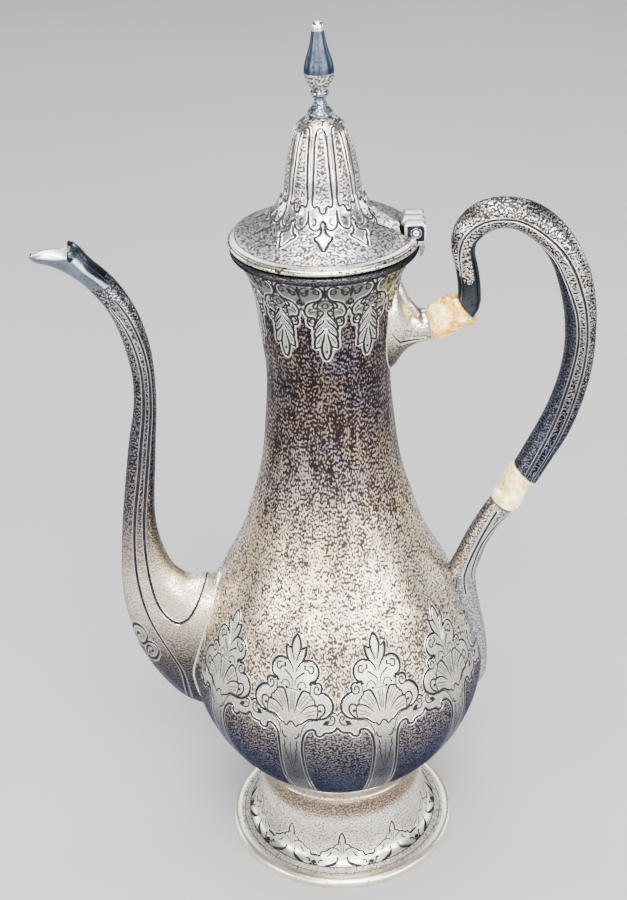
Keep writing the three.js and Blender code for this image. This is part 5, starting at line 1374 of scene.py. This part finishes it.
def arm_object():
    surf = Lofted(ARM, per=10)
    b = Build("lower_arm")
    st = stroke(surf, left([(76, 1.5), (86, 7), (92, 12.3), (92, 20), (98, 25.9), (104, 31)]), [.6, .6, .4], flank=True)
    st += stroke(surf, left([(140, 0.8), (124, 5), (116, 10), (114, 16.9), (122, 22), (138, 26.3)]), [.5, .55, .4], flank=True)
    st += stroke(surf, left([(70, 26), (66, 34), (62, 44), (54, 54), (40, 61)]), [.3, .5, .3])
    e = engrave(surf, 0.0, surf.end, st, [], half=180.0, grid=(1.7, 1.8), ring=6.0, side=1.8, flank=(0.6, 0.14, 1), deepest=0.2)
    b.patch(e, centre=180.0)
    cap(b, surf, 0.0, 1, False)
    cap(b, surf, surf.end, 0, True)
    done(b.make([M_ARM, M_ARM_EDGE, M_LINE]), "pot", "silver_etched", "lower_socket")


def horn_object():
    surf = Lofted(HORN, per=10)
    b = Build("upper_horn")
    end = surf.end
    st = stroke(surf, left([(90, end - 10.2), (82, end - 8.0), (68, end - 5.0), (52, end - 1.6)]), [.25, .55, .55, .4], flank=True)
    e = engrave(surf, 0.0, end, st, [], half=180.0, grid=(1.7, 1.6), ring=6.0, side=1.6, flank=(0.7, 0.12, 1), deepest=0.18)
    b.patch(e, centre=180.0)
    cap(b, surf, end, 1, True)
    done(b.make([M_HORN, M_EDGE, M_LINE], shape=hug), "pot", "silver_etched", "upper_socket")
    # thin raised border where the horn is soldered to the neck
    path = []
    for u in np.arange(0, 360, 5.0):
        s = np.linspace(0, end, 400)
        p = surf.P(np.full(400, u), s)
        gap = np.hypot(p[:, 0], p[:, 1]) - body_r(np.clip(p[:, 2], 26.7, 193))
        path.append(p[int(np.argmax(gap > 0.12)) if (gap > 0.12).any() else 0])
    seam = tube("horn_seam", np.array(path), 0.34, M_EDGE, closed=True, flat=0.8)
    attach(seam, "pot")


def insulator_object(name, sections, mat, slot, node, wobble, seed, groove):
    surf = Lofted(sections, per=8)
    rng = np.random.default_rng(seed)
    ph = rng.uniform(0, 2 * np.pi, 8)
    b = Build(name)
    u = np.arange(0, 360, 5.0)
    s = np.concatenate([[0, 0.12, 0.3], np.linspace(0.6, surf.end - 0.6, 34), [surf.end - 0.3, surf.end - 0.12, surf.end]])
    U_, S_ = np.meshgrid(u, s)
    P, N_ = surf.P(U_, S_), surf.N(U_, S_)
    a = np.radians(U_)
    bump = wobble * (0.5 * np.sin(2 * a + ph[0] + S_ * 0.5) + 0.35 * np.sin(3 * a + ph[1] - S_ * 0.9) + 0.25 * np.sin(5 * a + ph[2] + S_ * 1.3))
    for at in groove:
        bump -= 0.22 * np.exp(-((S_ - at - 0.25 * np.sin(2 * a + ph[3])) / 0.22) ** 2)
    ends = np.interp(S_, [0, 0.12, 0.3, 0.6, surf.end - 0.6, surf.end - 0.3, surf.end - 0.12, surf.end], [-0.5, -0.22, -0.08, 0, 0, -0.08, -0.22, -0.5])
    P = P + N_ * (bump + ends)[..., None]
    b.grid(P, 0)
    q = P.reshape(-1, 3)
    F0 = b.f[20 * len(u)]
    g = np.cross(q[F0[1]] - q[F0[0]], q[F0[2]] - q[F0[0]])
    if g @ N_.reshape(-1, 3)[F0[0]] < 0:
        b.f = [f[::-1] for f in b.f]
        b.n = [-n for n in b.n]
    for i, sgn in ((0, -1), (len(s) - 1, 1)):
        ring = P[i]
        c = ring.mean(0)
        rows = np.array([c + (ring - c) * f for f in (1, 0.5, 0.02)])
        C = len(u)
        F = [[r * C + j, (r + 1) * C + j, (r + 1) * C + (j + 1) % C, r * C + (j + 1) % C] for r in range(2) for j in range(C)]
        d = surf.P(np.array([0, 180.0]), np.full(2, s[i])).mean(0) - surf.P(np.array([0, 180.0]), np.full(2, s[i] - sgn * 0.5)).mean(0)
        d /= np.linalg.norm(d)
        qq = rows.reshape(-1, 3)
        g = np.cross(qq[F[0][1]] - qq[F[0][0]], qq[F[0][2]] - qq[F[0][0]])
        if g @ d < 0:
            F = [f[::-1] for f in F]
        b.add(qq, np.tile(d, (len(qq), 1)), F, 0)
    done(b.make([mat]), "pot", slot, node)


def insulators():
    insulator_object("upper_insulator_piece", [face(UP_IN, 4.1, 4.1, 0.15), face(UP_IN, 4.9, 4.7, 1.9, 17), (31.0, 176.9, 35.6, 168.4, 4.8), (33.3, 177.5, 38.4, 169.1, 4.8), (34.6, 176.9, 39.7, 169.5, 4.7)],
                     M_AMBER, "insulator_amber", "upper_insulator", 0.20, 5, (2.2, 8.3))
    insulator_object("lower_insulator_piece", [face(LOW_IN, 4.35, 4.3, 0.15), face(LOW_IN, 4.25, 4.2, 3.0), face(LOW_OUT, 4.3, 4.3, -3.6, 231), face(LOW_OUT, 4.45, 4.4, -1.6), face(LOW_OUT, 4.0, 4.0, -0.15)],
                     M_IVORY, "insulator_ivory", "lower_insulator", 0.16, 11, (1.2, 10.2))


# ------------------------------------------------------------------ hinge
def prism(name, outline, y0, y1, mat, bevel=0.18, extra=()):
    """An outline in XZ carried along Y, with small bevels."""
    bm = bmesh.new()
    lo = [bm.verts.new((x * MM, y0 * MM, z * MM)) for x, z in outline]
    hi = [bm.verts.new((x * MM, y1 * MM, z * MM)) for x, z in outline]
    n = len(outline)
    bm.faces.new(lo)
    bm.faces.new(hi[::-1])
    for i in range(n):
        j = (i + 1) % n
        bm.faces.new((lo[i], hi[i], hi[j], lo[j]))
    bmesh.ops.recalc_face_normals(bm, faces=bm.faces)
    me = bpy.data.meshes.new(name)
    bm.to_mesh(me)
    bm.free()
    for f in me.polygons:
        f.use_smooth = True
    me.materials.append(mat)
    for m in extra:
        me.materials.append(m)
    ob = bpy.data.objects.new(name, me)
    bpy.context.scene.collection.objects.link(ob)
    if bevel:
        mod = ob.modifiers.new("bevel", "BEVEL")
        mod.width, mod.segments, mod.limit_method, mod.angle_limit = bevel * MM, 2, "ANGLE", math.radians(35)
        mod.harden_normals = False
        apply_all(ob)
    return ob


def apply_all(ob):
    dg = bpy.context.evaluated_depsgraph_get()
    me = bpy.data.meshes.new_from_object(ob.evaluated_get(dg))
    old = ob.data
    ob.modifiers.clear()
    ob.data = me
    bpy.data.meshes.remove(old)


def cut(ob, *tools):
    for t in tools:
        mod = ob.modifiers.new("cut", "BOOLEAN")
        mod.operation, mod.object, mod.solver = "DIFFERENCE", t, "EXACT"
    apply_all(ob)
    for t in tools:
        me = t.data
        bpy.data.objects.remove(t)
        bpy.data.meshes.remove(me)
    return ob


def solid_rod(name, x, z, y0, y1, r, sides=40, mat=None):
    b = Build(name)
    a = np.linspace(0, 2 * np.pi, sides, endpoint=False)
    P = np.array([[(x + r * math.cos(t), y, z + r * math.sin(t)) for t in a] for y in (y0, y1)])
    N_ = np.array([[(math.cos(t), 0, math.sin(t)) for t in a]] * 2)
    b.grid(P, 0, flip=True, N=N_)
    b.add(P[0], np.tile([0, -1.0, 0], (sides, 1)), [list(range(sides))], 0)
    b.add(P[1], np.tile([0, 1.0, 0], (sides, 1)), [list(range(sides))[::-1]], 0)
    return b.make([mat or M_STEEL], keep_normals=False)


def hinge():
    px, pz = 23.3, 197.0
    outer = [(px - 2.85, pz - 2.6), (px + 2.45, pz - 2.6), (px + 2.65, pz - 1.6), (px + 2.7, pz + 0.6), (px + 2.5, pz + 2.0), (px + 1.9, pz + 2.6), (px - 2.4, pz + 2.6), (px - 2.85, pz + 2.2)]
    middle = [(px - 2.4, pz - 1.9), (px + 0.6, pz - 2.6), (px + 1.9, pz - 2.2), (px + 2.6, pz - 1.2), (px + 2.7, pz + 0.6), (px + 2.5, pz + 2.0), (px + 1.9, pz + 2.6), (px - 2.85, pz + 2.6), (px - 3.7, pz + 1.7), (px - 3.7, pz + 0.9), (px - 2.6, pz + 0.5)]
    c = np.array([px, pz])
    inset = [tuple(c + (np.array(q) - c) * 0.80) for q in outer]
    for name, y0, y1, node, sign in (("hinge_end_front", -5.45, -2.0, "body_knuckle_front", -1), ("hinge_end_rear", 2.0, 5.45, "body_knuckle_rear", 1)):
        k = prism(name, outer, y0, y1, M_HINGE, 0.09, (M_LINE, M_DARK))
        # folded plate: the end face is sunk inside a thin wall, with a slot under the pin
        ye = y0 if sign < 0 else y1
        lo, hi = sorted((ye - sign * 0.35, ye + sign * 0.6))
        t1 = prism("tool_a", inset, lo, hi, M_LINE, 0)
        lo, hi = sorted((ye - sign * 1.4, ye + sign * 0.6))
        t2 = prism("tool_b", [(px - 0.9, pz - 2.9), (px + 0.5, pz - 2.9), (px + 0.5, pz - 1.35), (px - 0.9, pz - 1.35)], lo, hi, M_LINE, 0)
        t3 = solid_rod("tool_c", px, pz, -9, 9, 1.12)
        cut(k, t1, t2, t3)
        # a raised ring round the pin
        a = np.linspace(0, 2 * np.pi, 36, endpoint=False)
        ring = tube(name + "_ring", [(px + 1.32 * math.cos(t), ye - sign * 0.22, pz + 1.32 * math.sin(t)) for t in a], 0.22, M_DARK, closed=True, sides=8)
        shade(k)
        done(k, "pot", "silver_plain", node)
        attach(ring, "pot")
    k = prism("hinge_middle", middle, -1.86, 1.86, M_HINGE, 0.09)
    cut(k, solid_rod("tool_d", px, pz, -9, 9, 1.12))
    shade(k)
    done(k, "lid", "silver_plain", "lid_knuckle")
    # pin with rounded, punched ends
    b = Build("hinge_pin_rod")
    prof = [(0.0, -5.42), (0.18, -5.42), (0.30, -5.5), (0.55, -5.58), (0.78, -5.5), (0.9, -5.3), (0.9, 5.3), (0.78, 5.5), (0.55, 5.58), (0.30, 5.5), (0.18, 5.42), (0.0, 5.42)]
    a = np.linspace(0, 2 * np.pi, 32, endpoint=False)
    P = np.array([[(px + max(r, 0.001) * math.cos(t), y, pz + max(r, 0.001) * math.sin(t)) for t in a] for r, y in prof])
    b.grid(P, 0, flip=True)
    pin = b.make([M_HINGE])
    shade(pin, 50)
    done(pin, "pot", "pin_metal", "hinge_pin")
    for sgn in (-1, 1):
        d = solid_rod("pin_punch_%s" % ("front" if sgn < 0 else "rear"), px, pz, *sorted((sgn * 5.40, sgn * 5.47)), 0.24, 20, M_LINE)
        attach(d, "pot")
    # strap outside the mouth with the two lugs
    r0 = 24.78
    strap = Build("hinge_strap")
    rows = []
    prof = [(r0, 190.75), (r0 + 0.5, 190.85), (r0 + 0.85, 191.4), (r0 + 1.05, 192.4), (r0 + 1.1, 193.4), (r0 + 1.1, 193.95), (r0 + 0.1, 193.95), (r0, 193.5), (r0, 190.75)]
    half = math.degrees(math.asin(5.5 / 25.2))
    a = np.radians(np.linspace(90 - half, 90 + half, 17))
    P = np.array([[(r * math.sin(t), -r * math.cos(t), z) for t in a] for r, z in prof])
    strap.grid(P, 0, close_u=False)
    for i, sgn in ((0, -1), (16, 1)):
        ring = P[:-1, i]
        n = np.array([math.cos(a[i]), math.sin(a[i]), 0]) * sgn
        F_ = list(range(len(ring)))
        q = ring
        g = np.cross(q[1] - q[0], q[3] - q[0])
        strap.add(q, np.tile(n, (len(q), 1)), [F_ if g @ n > 0 else F_[::-1]], 0)
    so = strap.make([M_STRAP], keep_normals=False)
    shade(so)
    done(so, "pot", "silver_plain", "hinge_bearer")
    for name, y0, y1 in (("hinge_lug_front", -5.55, -2.0), ("hinge_lug_rear", 2.0, 5.55)):
        lug = prism(name, [(20.6, 193.72), (25.7, 193.72), (25.95, 194.0), (25.95, 194.38), (20.6, 194.38)], y0, y1, M_LEAF, 0.12)
        shade(lug)
        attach(lug, "pot")
    # leaf: a saddle from the bell down to the hinge
    rows = [(12.2, 203.9, 2.0), (13.0, 203.35, 2.7), (14.0, 202.75, 3.4), (15.2, 202.1, 4.1), (16.4, 201.4, 4.7), (17.6, 200.75, 5.1), (18.6, 200.15, 5.35), (19.1, 199.75, 5.4)]
    rows = smooth(rows, 4)
    v = np.linspace(-1, 1, 25)
    P = []
    for x, z, w in rows:
        line = []
        for t in v:
            y = w * t
            rr = math.hypot(x, y)
            floor = float(np.interp(-rr, -lid_s.r, lid_s.z))
            h = z - 0.25 * t * t
            edge = max(0.0, (abs(t) - 0.86) / 0.14)
            line.append((x, y, h * (1 - edge) + (min(h, floor - 0.15)) * edge))
        P.append(line)
    P = np.array(P)
    leaf = Build("hinge_leaf_saddle")
    leaf.grid(P, 0, close_u=False)
    under = P.copy()
    for i in range(P.shape[0]):
        for j in range(P.shape[1]):
            rr = math.hypot(P[i, j, 0], P[i, j, 1])
            under[i, j, 2] = min(P[i, j, 2] - 0.05, float(np.interp(-rr, -lid_s.r, lid_s.z)) - 0.25)
    leaf.grid(under, 0, close_u=False, flip=True)
    for line in (0, -1):
        leaf.grid(np.array([P[line], under[line]]), 0, close_u=False, flip=(line == 0))
        leaf.grid(np.array([P[:, line], under[:, line]]), 0, close_u=False, flip=(line == -1))
    lo = leaf.make([M_LEAF], keep_normals=False)
    fix_normals(lo)
    shade(lo, 45)
    done(lo, "lid", "silver_plain", "hinge_leaf")


def fix_normals(ob):
    bm = bmesh.new()
    bm.from_mesh(ob.data)
    bmesh.ops.remove_doubles(bm, verts=bm.verts, dist=0.000002)
    bmesh.ops.recalc_face_normals(bm, faces=bm.faces)
    bm.to_mesh(ob.data)
    bm.free()


def shade(ob, angle=32):
    """Smooth shading, with edges sharper than the angle kept sharp."""
    me = ob.data
    bm = bmesh.new()
    bm.from_mesh(me)
    for f in bm.faces:
        f.smooth = True
    for e in bm.edges:
        e.smooth = not (len(e.link_faces) == 2 and e.calc_face_angle(0) > math.radians(angle))
    bm.to_mesh(me)
    bm.free()


# ------------------------------------------------------------------ stage
def camera():
    yaw, pitch, roll = -0.027, 0.520, -0.038
    fw = np.array([math.sin(yaw) * math.cos(pitch), math.cos(yaw) * math.cos(pitch), -math.sin(pitch)])
    rt = np.cross(fw, [0, 0, 1.0]); rt /= np.linalg.norm(rt)
    upv = np.cross(rt, fw)
    R = math.cos(roll) * rt + math.sin(roll) * upv
    U_ = -math.sin(roll) * rt + math.cos(roll) * upv
    from mathutils import Matrix
    cam = bpy.data.cameras.new("camera")
    cam.sensor_fit, cam.sensor_width, cam.lens = "AUTO", 36.0, 63.305
    cam.clip_start, cam.clip_end = 0.01, 50.0
    ob = bpy.data.objects.new("camera", cam)
    m = Matrix(((R[0], U_[0], -fw[0], 5.433 * MM), (R[1], U_[1], -fw[1], -378.992 * MM), (R[2], U_[2], -fw[2], 348.873 * MM), (0, 0, 0, 1)))
    ob.matrix_world = m
    bpy.context.scene.collection.objects.link(ob)
    bpy.context.scene.camera = ob


def floor():
    me = bpy.data.meshes.new("floor")
    r = 6.0
    me.from_pydata([(-r, -r, 0), (r, -r, 0), (r, r, 0), (-r, r, 0)], [], [(0, 1, 2, 3)])
    m, nt, co = start("floor_paper")
    t = noise(nt, co, 3.0, 3.0, 0.5)
    g = noise(nt, co, 900.0, 2.0, 0.5)
    finish_(nt, mix(nt, span(nt, t, 0.35, 0.65), (0.34, 0.34, 0.35), (0.365, 0.365, 0.375)), span(nt, g, 0.3, 0.7, 0.75, 0.9), 0.0, g, 0.00002, 0.2)
    me.materials.append(m)
    ob = bpy.data.objects.new("floor", me)
    bpy.context.scene.collection.objects.link(ob)


def light(name, at, to, size, power, color=(1, 1, 1), size_y=None):
    d = bpy.data.lights.new(name, "AREA")
    d.shape = "RECTANGLE"
    d.size, d.size_y = size, size_y or size
    d.energy, d.color = power, color
    ob = bpy.data.objects.new(name, d)
    ob.location = at
    ob.rotation_euler = (Vector(to) - Vector(at)).to_track_quat("-Z", "Y").to_euler()
    bpy.context.scene.collection.objects.link(ob)


def lights():
    w = bpy.data.worlds.new("studio")
    w.use_nodes = True
    bg = w.node_tree.nodes["Background"]
    bg.inputs[0].default_value = (0.80, 0.88, 1.0, 1)
    bg.inputs[1].default_value = 0.16
    bpy.context.scene.world = w
    light("left", (-0.98, -0.62, 0.38), (0, 0, 0.12), 0.42, 10.5, (1.0, 0.96, 0.90), 0.45)
    light("front_left", (-0.52, -1.46, 0.47), (0, 0, 0.12), 0.66, 18.5, (1.0, 0.955, 0.90), 0.58)
    light("front", (0.10, -1.50, 0.47), (0, 0, 0.12), 0.5, 3.0, (1.0, 0.955, 0.90), 0.58)
    light("front_right", (0.74, -1.44, 0.47), (0, 0, 0.12), 0.70, 20.0, (1.0, 0.955, 0.90), 0.58)
    light("right", (1.12, -0.80, 0.42), (0, 0, 0.12), 0.75, 18.0, (1.0, 0.97, 0.94), 0.5)
    light("high", (0.10, -0.85, 1.10), (0, 0, 0.08), 0.7, 35.0, (1.0, 0.98, 0.96), 0.5)
    light("top", (0.0, -0.05, 1.30), (0, 0, 0.1), 0.8, 30.0, (1.0, 0.99, 0.98))
    light("back_top", (0.0, 1.20, 1.05), (0, 0, 0.05), 1.4, 11.0, (0.97, 0.98, 1.0), 0.7)
    light("left_back", (-1.0, 0.50, 0.30), (0, 0, 0.06), 0.5, 4.0, (0.96, 0.98, 1.0), 0.4)
    light("right_back", (1.0, 0.50, 0.30), (0, 0, 0.06), 0.5, 4.0, (0.92, 0.96, 1.0), 0.4)


camera()
lights()
floor()
body_object()
rings()
foot_object()
lid_object()
finial_object()
spout_object()
handle_object()
arm_object()
horn_object()
insulators()
hinge()
for name, mat in (("upper_socket_pin", M_STEEL), ("upper_handle_pin", M_STEEL_DARK), ("lower_handle_pin", M_STEEL), ("lower_socket_pin", M_STEEL),
                  ("finial_nut", M_STEEL), ("finial_washer", M_STEEL)):
    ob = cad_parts[name]
    ob.data.materials.clear()
    ob.data.materials.append(mat)
